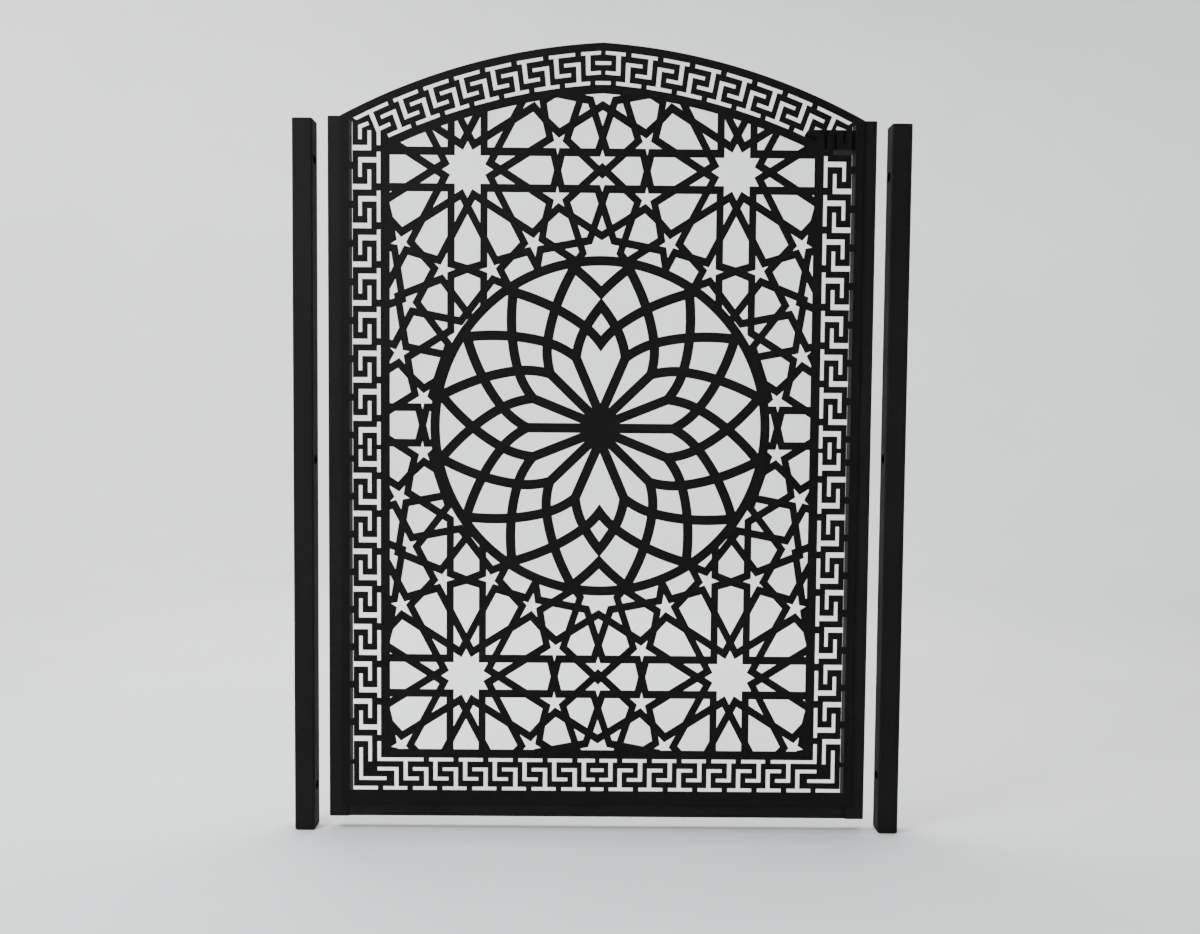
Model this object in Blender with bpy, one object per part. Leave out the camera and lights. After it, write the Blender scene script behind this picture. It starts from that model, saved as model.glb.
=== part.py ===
"""Metal garden gate: a cut sheet on a box-section frame, hung between two box-section jambs.

Metres, +Z up, +X along the gate, the front faces -Y.  Shapes are worked out in the leaf's own
frame, whose origin is the middle of the leaf's bottom edge, on the front of its frame.  All
objects hang from one empty, which puts the origin on the left jamb's wall face.
"""

import math

import bmesh
import bpy
from mathutils import Vector
from mathutils.geometry import delaunay_2d_cdt

# ---- leaf, frame and jambs ---------------------------------------------------------------
LEAF_WIDTH = 1.080
STILE_HEIGHT = 1.394
BOX_SIZE = 0.040                 # square tube, outside
BOX_WALL = 0.002
BOX_CORNER = 0.004               # outside corner radius
CORNER_STEPS = 1
CLEARANCE = 0.0003               # between pieces that are welded or pressed together
CAP_THICKNESS = 0.003
CAP_EDGE = 0.001                 # chamfer round a cap's outer face
FOOT_CAP_THICKNESS = 0.005
FOOT_CAP_EDGE = 0.0035
JAMB_LENGTH = 1.420              # with its caps
JAMB_DROP = 0.030                # the jambs' feet below the leaf's bottom edge
JAMB_GAP = 0.030                 # between the leaf and each jamb
LEFT_FIXINGS = (0.056, 0.718, 1.313)     # heights of the fixing holes, drilled by hand
RIGHT_FIXINGS = (0.083, 0.729, 1.290)
ACCESS_HOLE_DIAMETER = 0.020     # in the jamb wall that faces the leaf
SCREW_HOLE_DIAMETER = 0.011      # in the jamb wall that faces the masonry
HOLE_SIDES = 10
CORNER_BLOCK_LENGTH = 0.095
CORNER_BLOCK_TOP = 1.377

# ---- sheet -------------------------------------------------------------------------------
SHEET_THICKNESS = 0.003
SHEET_HALF_WIDTH = 0.5134
SHEET_BOTTOM = 0.027
ARCH_RADIUS = 1.2503             # two arcs that meet in a slight point at the crown
ARCH_SHIFT = 0.0749              # each arc's centre lies this far past the middle line
ARCH_CENTRE_Z = 0.2907
ARC_CHORD = 0.060                # longest straight step on an arc

# ---- key-pattern bands: rows across the band, keys along it ------------------------------
BOTTOM_BAND_TOP = 0.1210
BOTTOM_SLOT = 0.0077
BOTTOM_ROW_PITCH = 0.0195
BOTTOM_KEY_PITCH = 0.05983
BOTTOM_KEYS = 6                  # whole pairs of keys on each side of the middle
SIDE_BAND_INNER = 0.4352
SIDE_BAND_MIDDLE = 0.7455
SIDE_SLOT = 0.0073
SIDE_ROW_PITCH = 0.0182
SIDE_KEY_PITCH = 0.0756
SIDE_KEYS = 7
ARCH_BAND_INSET = 0.0151
ARCH_SLOT = 0.0076
ARCH_ROW_PITCH = 0.0191
ARCH_KEY_PITCH = 0.06167         # at the middle of the band
ARCH_KEY_START = 0.0019
ARCH_KEYS = 7
FIRST_BAR = (-0.150, 0.658)      # along the band, in key pitches: bar on the first row,
FIRST_STEM = (0.378, 0.516)      # stem across to the third, hook back along it
FIRST_HOOK = (0.004, 0.516)
SECOND_BAR = (0.395, 1.203)      # bar on the fourth row, stem to the second, hook onward
SECOND_STEM = (0.6865, 0.825)
SECOND_HOOK = (0.6865, 1.203)
MIDDLE_BRIDGE = 0.0048           # half the metal left on the band's middle line
MIDDLE_SLOT = 0.215              # half the short slots there, in key pitches

# ---- where the bands turn their corners --------------------------------------------------
THIRD_FOOT = 7.09                # inner ends of the corner slots' feet, in bottom key pitches
FOURTH_FOOT = 7.38
THIRD_HEAD_DROP = 0.002          # the third column's head, below the bridge over it
FOURTH_HEAD_RISE = 0.006         # heads and ends above the bottom band's second row
COLUMN_BAR_RISE = 0.0155
COLUMN_HOOK_RISE = 0.0110
ARCH_TIP = 0.031                 # past the arch's last stem: the tip of its end slot,
ARCH_TIP_SLANT = 0.0045          # how far that slot's slanted end comes back,
BEND_START = 0.0075              # and the bend below it, from its start
BEND_INNER = 0.0205              # to its corners
BEND_OUTER = 0.0235
SLANTED_HEAD = (1.3808, 1.3880)  # heights of the fourth column's slanted head

# ---- star field: twelve- and nine-petal rosettes, drawn regular, then stretched upright ---
LATTICE = 0.5289                 # between neighbouring twelve-petal rosettes
STRETCH = 1.0957
FIELD_MIDDLE_Z = 0.7897          # height of the twelve-petal rosette behind the middle ring
TWELVE_REACH = 0.1766            # centre to the outer points of its petals
STAR_BAR = 0.0143
PETAL_HALF = 0.0323              # a petal's side lines lie this far from its axis
FIELD_HALF_WIDTH = 0.4170
FIELD_BOTTOM = 0.1383
FIELD_ARCH_INSET = 0.0972        # from the sheet's arched edge
SMALLEST_HOLE = 0.00080          # square metres; smaller openings are left uncut here

# ---- middle rosette ----------------------------------------------------------------------
RING_CENTRE_Z = 0.7888
RING_OUTER = 0.3369
RING_INNER = 0.3182
ROSETTE_CENTRE_Z = 0.7865
ROSETTE_FOLD = 16
ROSETTE_WIDEN = 1.033            # drawn regular, then widened
ARM_BAR = 0.0193
ARM_NODE_RADIUS = 0.3214         # where two arms part, within the ring
ARM_SHRINK = 0.7935              # radius ratio over half a petal's turn
ARM_BEND = 0.063                 # how much its last half petal bends in to the spoke
ARM_HALF_TURNS = 3               # half petals from the ring to the spoke
ARM_STEPS = 1                    # straight steps in a half petal
ROSETTE_LEAN = 0.0108            # each half's own centre lies this far past the middle line

STEEL_BLACK = (0.012, 0.012, 0.013, 1.0)
STEEL_BLACK_WORN = (0.020, 0.020, 0.021, 1.0)
TINY = 1e-6


# ---- plane geometry ----------------------------------------------------------------------

def polar(radius, degrees, centre=(0.0, 0.0)):
    angle = math.radians(degrees)
    return Vector((centre[0] + radius * math.cos(angle), centre[1] + radius * math.sin(angle)))


def cross(u, v):
    return u.x * v.y - u.y * v.x


def beside(point, degrees, offset=0.0):
    """Endless line (a point and a direction) parallel to a direction, moved to its left."""
    along = polar(1.0, degrees)
    return point + Vector((-along.y, along.x)) * offset, along


def through(p, q):
    return p, (q - p).normalized()


def meet(line_a, line_b):
    (p, u), (q, v) = line_a, line_b
    return p + u * (cross(q - p, v) / cross(u, v))


def sides(loop):
    return zip(loop, loop[1:] + loop[:1])


def signed_area(loop):
    return sum(cross(p, q) for p, q in sides(loop)) / 2.0


def mirrored(loop):
    return [Vector((-p.x, p.y)) for p in reversed(loop)]


def crossing_of(p, q, r, s):
    """Where two segments cross or touch, or None."""
    u, v = q - p, s - r
    turn = cross(u, v)
    if abs(turn) < 1e-9:
        return None
    along_first = cross(r - p, v) / turn
    along_second = cross(r - p, u) / turn
    slack_first, slack_second = 1e-5 / u.length, 1e-5 / v.length
    if not -slack_first < along_first < 1 + slack_first:
        return None
    if not -slack_second < along_second < 1 + slack_second:
        return None
    return p + u * along_first


class Nodes:
    """Numbers points, giving the same number to points that coincide."""

    def __init__(self):
        self.points = []
        self.cells = {}

    def number(self, point):
        cell = (round(point.x / 4e-5), round(point.y / 4e-5))
        for dx in (-1, 0, 1):
            for dy in (-1, 0, 1):
                found = self.cells.get((cell[0] + dx, cell[1] + dy))
                if found is not None and (self.points[found] - point).length < 4e-5:
                    return found
        self.cells[cell] = len(self.points)
        self.points.append(point)
        return self.cells[cell]


def faces_of(bars):
    """Faces enclosed by a network of bars, each bar being (end, end, half width).

    A face is an anticlockwise list of (corner, half width of the bar that starts there).
    """
    bars = sorted(bars, key=lambda bar: min(bar[0].x, bar[1].x))
    cuts = [[p, q] for p, q, half in bars]
    for i, (p, q, half) in enumerate(bars):
        right = max(p.x, q.x) + TINY
        for j in range(i + 1, len(bars)):
            r, s, other_half = bars[j]
            if min(r.x, s.x) > right:
                break
            crossing = crossing_of(p, q, r, s)
            if crossing:
                cuts[i].append(crossing)
                cuts[j].append(crossing)

    nodes, around, width = Nodes(), {}, {}
    for (p, q, half), marks in zip(bars, cuts):
        marks.sort(key=lambda mark: (mark - p).dot(q - p))
        chain = [nodes.number(mark) for mark in marks]
        for a, b in zip(chain, chain[1:]):
            if a != b:
                around.setdefault(a, set()).add(b)
                around.setdefault(b, set()).add(a)
                width[a, b] = width[b, a] = half

    loose = [a for a in around if len(around[a]) == 1]
    while loose:
        a = loose.pop()
        if len(around[a]) == 1:
            b = around[a].pop()
            around[b].discard(a)
            loose.append(b)

    def bearing(a, b):
        step = nodes.points[b] - nodes.points[a]
        return math.atan2(step.y, step.x)

    following = {}
    for a, others in around.items():
        turned = sorted(others, key=lambda b: bearing(a, b))
        for k, b in enumerate(turned):
            following[b, a] = (a, turned[k - 1])

    faces, used = [], set()
    for start in following:
        face, side = [], start
        while side not in used:
            used.add(side)
            face.append((nodes.points[side[0]], width[side]))
            side = following[side]
        if len(face) > 2 and signed_area([corner for corner, half in face]) > TINY:
            faces.append(face)
    return faces


def hole_in(face):
    """Opening left in a face once its bars have their width; empty if the bars fill it."""
    corners = [corner for corner, half in face]
    lines = []
    for k, (corner, half) in enumerate(face):
        along = (corners[(k + 1) % len(corners)] - corner).normalized()
        straight_on = lines and cross(lines[-1][1], along) ** 2 < 1e-6 and lines[-1][2] == half
        if not straight_on:
            lines.append((corner + Vector((-along.y, along.x)) * half, along, half))
    if cross(lines[-1][1], lines[0][1]) ** 2 < 1e-6 and lines[-1][2] == lines[0][2]:
        lines.pop(0)
    while len(lines) > 2:
        if any(abs(cross(before[1], line[1])) < 1e-6 for before, line in zip(lines[-1:] + lines, lines)):
            return []
        loop = [meet(before[:2], line[:2]) for before, line in zip(lines[-1:] + lines, lines)]
        lengths = [(q - p).dot(line[1]) for (p, q), line in zip(sides(loop), lines)]
        if min(lengths) > 0:
            return loop
        lines.pop(lengths.index(min(lengths)))
    return []


class StraightEdge:
    """Edge of a region that lies on the left of a line."""

    def __init__(self, point, degrees):
        self.point = Vector(point)
        self.along = polar(1.0, degrees)

    def depth(self, p):
        return cross(self.along, p - self.point)

    def crossings(self, p, q):
        before, after = self.depth(p), self.depth(q)
        return [before / (before - after)] if (before > 0) != (after > 0) else []

    def way(self, p, q):
        step = (q - p).dot(self.along)
        return step if step > -TINY else math.inf

    def between(self, p, q):
        return []


class RoundEdge:
    """Edge of a region that is a disc (turn = 1) or all that lies round one (turn = -1)."""

    def __init__(self, centre, radius, turn):
        self.centre = Vector(centre)
        self.radius = radius
        self.turn = turn

    def depth(self, p):
        return (self.radius - (p - self.centre).length) * self.turn

    def crossings(self, p, q):
        step, start = q - p, p - self.centre
        square, linear = step.length_squared, step.dot(start)
        inner = linear ** 2 - square * (start.length_squared - self.radius ** 2)
        if inner <= 0:
            return []
        roots = [(-linear + sign * math.sqrt(inner)) / square for sign in (-1, 1)]
        return [root for root in roots if 0 <= root < 1]

    def angle(self, p):
        return math.degrees(math.atan2(p.y - self.centre.y, p.x - self.centre.x))

    def way(self, p, q):
        return (self.turn * (self.angle(q) - self.angle(p)) + 1e-6) % 360

    def between(self, p, q, chord=ARC_CHORD):
        sweep = self.way(p, q)
        steps = math.ceil(math.radians(sweep) * self.radius / chord)
        start = self.angle(p)
        turns = [self.turn * sweep * k / steps for k in range(1, steps)]
        return [polar(self.radius, start + turn, self.centre) for turn in turns]


def clipped(loop, edge):
    """Parts of a loop inside a region."""
    runs, lead = [], []
    for p, q in sides(loop):
        (runs[-1] if runs else lead).append(p)
        for part in edge.crossings(p, q):
            mark = p.lerp(q, part)
            (runs[-1] if runs else lead).append(mark)
            runs.append([mark])
    if not runs:
        return [loop] if edge.depth(loop[0]) > 0 else []
    runs[-1] += lead
    kept = [run for run in runs if edge.depth((run[0] + run[1]) / 2) > 0]
    parts = []
    while kept:
        first = kept.pop()
        part = list(first)
        while True:
            onward = min(kept + [first], key=lambda run: edge.way(part[-1], run[0]))
            part += edge.between(part[-1], onward[0])
            if onward is first:
                break
            kept.remove(onward)
            part += onward
        parts.append(part)
    return parts


def tidied(loop):
    """The loop without doubled points and without points on a straight line."""
    kept = []
    for k, p in enumerate(loop):
        if (loop[k - 1] - p).length > 0.0005:
            kept.append(p)
    corners = []
    for k, p in enumerate(kept):
        back = (p - kept[k - 1]).normalized()
        ahead = (kept[(k + 1) % len(kept)] - p).normalized()
        if abs(cross(back, ahead)) > 0.004:
            corners.append(p)
    return corners


# ---- key-pattern bands -------------------------------------------------------------------

class Band:
    """A key-pattern band: `place` turns (along, across) into a point of the sheet."""

    def __init__(self, pitch, slot, row_pitch, start, place):
        self.pitch, self.slot, self.row_pitch, self.start = pitch, slot, row_pitch, start
        self.place = place

    def row(self, number):
        """Near and far edge of a row, 0 being the first."""
        return number * self.row_pitch, number * self.row_pitch + self.slot

    def along(self, parts, key):
        return [max(self.start + self.pitch * (part + key), MIDDLE_BRIDGE) for part in parts]

    def outline(self, corners):
        return [self.place(along, across) for along, across in corners]

    def first_key(self, key):
        """Bar on the first row, stem to the third row and a hook back along it."""
        bar, stem, hook = [self.along(part, key) for part in (FIRST_BAR, FIRST_STEM, FIRST_HOOK)]
        near, bar_foot = self.row(0)
        hook_head, far = self.row(2)
        return self.outline((
            (bar[0], near), (bar[1], near), (bar[1], bar_foot), (stem[1], bar_foot),
            (stem[1], far), (hook[0], far), (hook[0], hook_head), (stem[0], hook_head),
            (stem[0], bar_foot), (bar[0], bar_foot)))

    def second_key(self, key, bar_end=None, hook_end=None):
        """Bar on the fourth row, stem to the second row and a hook onward along it."""
        bar, stem, hook = [self.along(part, key) for part in (SECOND_BAR, SECOND_STEM, SECOND_HOOK)]
        bar_end, hook_end = bar_end or bar[1], hook_end or hook[1]
        near, hook_foot = self.row(1)
        bar_head, far = self.row(3)
        return self.outline((
            (stem[0], near), (hook_end, near), (hook_end, hook_foot), (stem[1], hook_foot),
            (stem[1], bar_head), (bar_end, bar_head), (bar_end, far), (bar[0], far),
            (bar[0], bar_head), (stem[0], bar_head)))

    def middle_slots(self):
        """The two short slots across the band's middle line."""
        half = self.start + self.pitch * MIDDLE_SLOT
        slots = []
        for row in (self.row(1), self.row(3)):
            slots.append(self.outline(((-half, row[0]), (half, row[0]), (half, row[1]), (-half, row[1]))))
        return slots


def arch_place(along, across):
    """Point of the arched band's right half, measured from its crown line."""
    radius = ARCH_RADIUS - ARCH_BAND_INSET - across
    middle_radius = ARCH_RADIUS - ARCH_BAND_INSET - 2 * ARCH_ROW_PITCH + ARCH_SLOT / 2
    turn = math.asin(ARCH_SHIFT / radius) + abs(along) / middle_radius
    x = radius * math.sin(turn) - ARCH_SHIFT
    return Vector((math.copysign(x, along), ARCH_CENTRE_Z + radius * math.cos(turn)))


def side_place(upward):
    def place(along, across):
        return Vector((SIDE_BAND_INNER + across, SIDE_BAND_MIDDLE + upward * along))
    return place


def bottom_place(along, across):
    return Vector((along, BOTTOM_BAND_TOP - across))


BOTTOM_BAND = Band(BOTTOM_KEY_PITCH, BOTTOM_SLOT, BOTTOM_ROW_PITCH, 0.0, bottom_place)
UPPER_SIDE_BAND = Band(SIDE_KEY_PITCH, SIDE_SLOT, SIDE_ROW_PITCH, 0.0, side_place(1))
LOWER_SIDE_BAND = Band(SIDE_KEY_PITCH, SIDE_SLOT, SIDE_ROW_PITCH, 0.0, side_place(-1))
ARCH_BAND = Band(ARCH_KEY_PITCH, ARCH_SLOT, ARCH_ROW_PITCH, ARCH_KEY_START, arch_place)


def column(number):
    """Inner and outer edge of a row of the side band."""
    near, far = UPPER_SIDE_BAND.row(number)
    return SIDE_BAND_INNER + near, SIDE_BAND_INNER + far


def level(number):
    """Lower and upper edge of a row of the bottom band."""
    near, far = BOTTOM_BAND.row(number)
    return BOTTOM_BAND_TOP - far, BOTTOM_BAND_TOP - near


def corner_slot(number, top, inner_end):
    """Slot that comes down a column and turns inward along the row of the same number."""
    inner, outer = column(number)
    low, high = level(number)
    return [Vector(corner) for corner in (
        (inner_end, low), (outer, low), (outer, top), (inner, top), (inner, high), (inner_end, high))]


def bottom_corner_slots():
    """Slots that lead the bottom band round its right corner."""
    inner, outer = column(0)
    low, high = level(0)
    hook_low, hook_high = level(2)
    bar = BOTTOM_BAND.along(FIRST_BAR, BOTTOM_KEYS)
    stem = BOTTOM_BAND.along(FIRST_STEM, BOTTOM_KEYS)
    hook = BOTTOM_BAND.along(FIRST_HOOK, BOTTOM_KEYS)
    top = SIDE_BAND_MIDDLE - SIDE_KEY_PITCH * (SIDE_KEYS + SECOND_STEM[1])
    inner_slot = [Vector(corner) for corner in (
        (bar[0], low), (stem[0], low), (stem[0], hook_high), (hook[0], hook_high),
        (hook[0], hook_low), (stem[1], hook_low), (stem[1], low), (outer, low),
        (outer, top), (inner, top), (inner, high), (bar[0], high))]
    bridge = SIDE_ROW_PITCH - SIDE_SLOT
    second_row = level(1)[1]
    third = corner_slot(2, top - bridge - THIRD_HEAD_DROP, BOTTOM_KEY_PITCH * THIRD_FOOT)
    fourth = corner_slot(3, second_row + FOURTH_HEAD_RISE, BOTTOM_KEY_PITCH * FOURTH_FOOT)
    row_end = BOTTOM_BAND.second_key(BOTTOM_KEYS, hook_end=outer)
    column_end = LOWER_SIDE_BAND.second_key(
        SIDE_KEYS,
        bar_end=SIDE_BAND_MIDDLE - second_row - COLUMN_BAR_RISE,
        hook_end=SIDE_BAND_MIDDLE - second_row - COLUMN_HOOK_RISE)
    return [inner_slot, third, fourth, row_end, column_end]


def top_corner_slots():
    """Slots that lead the side band into the arch at its right end."""
    inner, outer = column(0)
    bar = ARCH_BAND.along(FIRST_BAR, ARCH_KEYS)
    stem = ARCH_BAND.along(FIRST_STEM, ARCH_KEYS)
    hook = ARCH_BAND.along(FIRST_HOOK, ARCH_KEYS)
    near, bar_foot = ARCH_BAND.row(0)
    hook_head, far = ARCH_BAND.row(2)
    foot = SIDE_BAND_MIDDLE + SIDE_KEY_PITCH * (SIDE_KEYS + SECOND_STEM[1])
    tip = stem[1] + ARCH_TIP
    arch_end = ARCH_BAND.outline((
        (bar[0], bar_foot), (bar[0], near), (stem[1], near), (tip, near),
        (tip - ARCH_TIP_SLANT, bar_foot), (stem[1], bar_foot), (stem[1], far)))
    arch_end[-1] = Vector((outer, arch_end[-1].y))
    arch_end += [Vector((outer, foot)), Vector((inner, foot))]
    arch_end += ARCH_BAND.outline((
        (stem[0], far), (hook[0], far), (hook[0], hook_head), (stem[0], hook_head), (stem[0], bar_foot)))

    side_end = UPPER_SIDE_BAND.second_key(SIDE_KEYS)
    fourth_inner, fourth_outer = column(3)
    side_end[5:7] = [Vector((fourth_inner, SLANTED_HEAD[0])), Vector((fourth_outer, SLANTED_HEAD[1]))]

    third_inner, third_outer = column(2)
    second_near, second_far = ARCH_BAND.row(1)
    bend_start = foot + SIDE_ROW_PITCH - SIDE_SLOT
    start = stem[1] + BEND_START
    inner_bend = ARCH_BAND.outline(((start, second_far), (stem[1] + BEND_INNER, second_far)))
    outer_bend = ARCH_BAND.outline(((stem[1] + BEND_OUTER, second_near), (start, second_near)))
    inner_bend[1].x, outer_bend[0].x = third_inner, third_outer
    bend = [Vector((third_inner, bend_start)), Vector((third_outer, bend_start))]
    bend += outer_bend + inner_bend
    return [arch_end, side_end, bend]


def right_key_slots():
    slots = bottom_corner_slots() + top_corner_slots()
    for key in range(BOTTOM_KEYS):
        slots += [BOTTOM_BAND.first_key(key), BOTTOM_BAND.second_key(key)]
    for key in range(SIDE_KEYS):
        slots += [LOWER_SIDE_BAND.second_key(key), UPPER_SIDE_BAND.second_key(key)]
    for key in range(SIDE_KEYS + 1):
        slots += [LOWER_SIDE_BAND.first_key(key), UPPER_SIDE_BAND.first_key(key)]
    for key in range(ARCH_KEYS):
        slots += [ARCH_BAND.first_key(key), ARCH_BAND.second_key(key)]
    return slots + UPPER_SIDE_BAND.middle_slots()


def key_slots():
    right = right_key_slots()
    left = [mirrored(slot) for slot in right]
    return right + left + BOTTOM_BAND.middle_slots() + ARCH_BAND.middle_slots()


# ---- star field --------------------------------------------------------------------------

def star_wedge():
    """Centre lines between the axes at 0 and 30 degrees of a twelve-petal rosette."""
    h = PETAL_HALF
    zero = Vector((0.0, 0.0))
    nine_centre = polar(LATTICE / math.sqrt(3), 30)
    nine_reach = LATTICE / math.sqrt(3) - TWELVE_REACH
    corner_back = h / math.sqrt(3)           # a nine-petal's side lines start this far out
    joint = polar(TWELVE_REACH, 30)          # tip shared by a twelve- and a nine-petal
    tip = polar(TWELVE_REACH, 0)
    nine_tip = polar(nine_reach, 250, nine_centre)

    flat_side = beside(zero, 0, h)           # side of the petal at 0 degrees
    slant_side = beside(zero, 30, -h)        # side of the petal at 30 degrees
    twelve_head = through(joint, tip)        # heads of the petals, as one straight line
    nine_head = through(joint, nine_tip)
    near_side = beside(nine_centre, 70, h)   # the two sides of the nine-petal at 250 degrees
    far_side = beside(nine_centre, 70, -h)

    knee = meet(beside(tip, 75), flat_side)
    slant_start = polar(corner_back, 210, nine_centre) + polar(h, -60)
    near_start = polar(corner_back, 250, nine_centre) + polar(h, 160)
    far_start = polar(corner_back, 250, nine_centre) + polar(h, -20)
    gap_line = (Vector((LATTICE / 2, 0.0)), Vector((0.0, 1.0)))
    return [
        (Vector((h, h)), meet(flat_side, twelve_head)),
        (polar(math.sqrt(2) * h, -15), meet(slant_side, twelve_head)),
        (joint, meet(twelve_head, slant_side)),
        (meet(twelve_head, flat_side), tip),
        (meet(slant_side, nine_head), slant_start),
        (joint, meet(nine_head, slant_side)),
        (meet(nine_head, near_side), meet(nine_head, gap_line)),
        (near_start, meet(near_side, nine_head)),
        (tip, knee),
        (knee, meet(flat_side, far_side)),
        (far_start, meet(far_side, flat_side)),
    ]


def star_bars(half_width, lowest, highest):
    """Bars of the whole star pattern about a twelve-petal rosette at the origin."""
    wedge = star_wedge()
    wedge += [(Vector((p.x, -p.y)), Vector((q.x, -q.y))) for p, q in wedge]
    row_pitch = LATTICE * math.sqrt(3) / 2
    bars = []
    for row in range(-2, 3):
        for place in (-1.5, -1, -0.5, 0, 0.5, 1, 1.5):
            if (2 * place + row) % 2:
                continue
            centre = Vector((place * LATTICE, row * row_pitch))
            for turn in range(0, 360, 60):
                angle = math.radians(turn)
                for ends in wedge:
                    p, q = [centre + turned(end, angle) for end in ends]
                    in_width = min(abs(p.x), abs(q.x)) < half_width
                    in_height = max(p.y, q.y) > lowest and min(p.y, q.y) < highest
                    if in_width and in_height:
                        bars.append((p, q, STAR_BAR / 2))
    return bars


def turned(point, angle):
    cos, sin = math.cos(angle), math.sin(angle)
    return Vector((point.x * cos - point.y * sin, point.x * sin + point.y * cos))


def field_edges():
    """Edges of the star field: its straight sides, its arches and the ring in its middle."""
    arch = ARCH_RADIUS - FIELD_ARCH_INSET
    return [
        StraightEdge((0, FIELD_BOTTOM), 0),
        StraightEdge((FIELD_HALF_WIDTH, 0), 90),
        StraightEdge((-FIELD_HALF_WIDTH, 0), -90),
        RoundEdge((-ARCH_SHIFT, ARCH_CENTRE_Z), arch, 1),
        RoundEdge((ARCH_SHIFT, ARCH_CENTRE_Z), arch, 1),
        RoundEdge((0, RING_CENTRE_Z), RING_OUTER, -1),
    ]


def cut_to(loops, edges):
    for edge in edges:
        loops = [part for loop in loops for part in clipped(loop, edge)]
    loops = [tidied(loop) for loop in loops if abs(signed_area(loop)) > SMALLEST_HOLE]
    return [loop for loop in loops if len(loop) > 2]


def star_holes():
    margin = 0.150
    lowest = (FIELD_BOTTOM - FIELD_MIDDLE_Z) / STRETCH - margin
    highest = (ARCH_CENTRE_Z + ARCH_RADIUS - FIELD_ARCH_INSET - FIELD_MIDDLE_Z) / STRETCH + margin
    holes = []
    for face in faces_of(star_bars(FIELD_HALF_WIDTH + margin, lowest, highest)):
        hole = hole_in(face)
        if hole:
            holes.append([Vector((p.x, FIELD_MIDDLE_Z + p.y * STRETCH)) for p in hole])
    return cut_to(holes, field_edges())


# ---- middle rosette ----------------------------------------------------------------------

def arm_radius(part):
    """Radius of an arm, so many half petals in: a log spiral that bends in at its end."""
    last_half = max(part - ARM_HALF_TURNS + 1, 0.0)
    return ARM_NODE_RADIUS * ARM_SHRINK ** part * math.exp(-ARM_BEND * last_half ** 2)


def arm(start_degrees, turn):
    """Centre line of an arm, from outside the ring in to its spoke."""
    half_petal = 180.0 / ROSETTE_FOLD
    points = []
    for step in range(-1, ARM_HALF_TURNS * ARM_STEPS + 1):
        part = step / ARM_STEPS
        points.append(polar(arm_radius(part), start_degrees + turn * half_petal * part))
    return points


def right_rosette_bars():
    """Bars of the rosette's right half: a rosette about its own centre, cut off and shifted."""
    half_petal = 180.0 / ROSETTE_FOLD
    lines = []
    for petal in range(ROSETTE_FOLD):
        for turn in (-1, 1):
            points = arm(half_petal * (2 * petal + 1), turn)
            lines += list(zip(points, points[1:]))
        upright = petal * 4 % (ROSETTE_FOLD * 2) and petal * 4 % ROSETTE_FOLD == 0
        if not upright:
            lines.append((Vector((0.0, 0.0)), polar(arm_radius(ARM_HALF_TURNS), 2 * half_petal * petal)))
    outer = ARM_NODE_RADIUS * 1.08
    rim = [polar(outer, half_petal * step) for step in range(2 * ROSETTE_FOLD)]
    lines += list(sides(rim))

    axis = Vector((ROSETTE_LEAN, 0.0)), Vector((0.0, 1.0))
    bars = []
    for ends in lines:
        p, q = sorted((Vector((end.x * ROSETTE_WIDEN, end.y)) for end in ends), key=lambda end: end.x)
        if q.x < ROSETTE_LEAN + TINY:
            continue
        if p.x < ROSETTE_LEAN:
            p = meet(axis, through(p, q))
        shift = Vector((-ROSETTE_LEAN, 0.0))
        bars.append((p + shift, q + shift, ARM_BAR / 2))
    return bars


def rosette_holes():
    """Both halves' openings; links without width part the halves where their bars overlap."""
    right = right_rosette_bars()
    left = [(Vector((-p.x, p.y)), Vector((-q.x, q.y)), half) for p, q, half in right]
    heights = sorted({round(end.y, 6) for p, q, half in right for end in (p, q) if abs(end.x) < TINY})
    bars = right + left
    for low, high in zip(heights, heights[1:]):
        if high - low < 2 * ARM_BAR:
            bars.append((Vector((0.0, low)), Vector((0.0, high)), 0.0))
    holes = []
    for face in faces_of(bars):
        hole = hole_in(face)
        if hole:
            holes.append([Vector((p.x, ROSETTE_CENTRE_Z + p.y)) for p in hole])
    return cut_to(holes, [RoundEdge((0, RING_CENTRE_Z), RING_INNER, 1)])


# ---- solids ------------------------------------------------------------------------------

def sheet_outline():
    edge = RoundEdge((-ARCH_SHIFT, ARCH_CENTRE_Z), ARCH_RADIUS, 1)
    spring = Vector((SHEET_HALF_WIDTH, ARCH_CENTRE_Z))
    spring.y += math.sqrt(ARCH_RADIUS ** 2 - (SHEET_HALF_WIDTH + ARCH_SHIFT) ** 2)
    crown = Vector((0.0, ARCH_CENTRE_Z + math.sqrt(ARCH_RADIUS ** 2 - ARCH_SHIFT ** 2)))
    right = [Vector((SHEET_HALF_WIDTH, SHEET_BOTTOM)), spring] + edge.between(spring, crown)
    return right + [crown] + mirrored(right)


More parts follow.
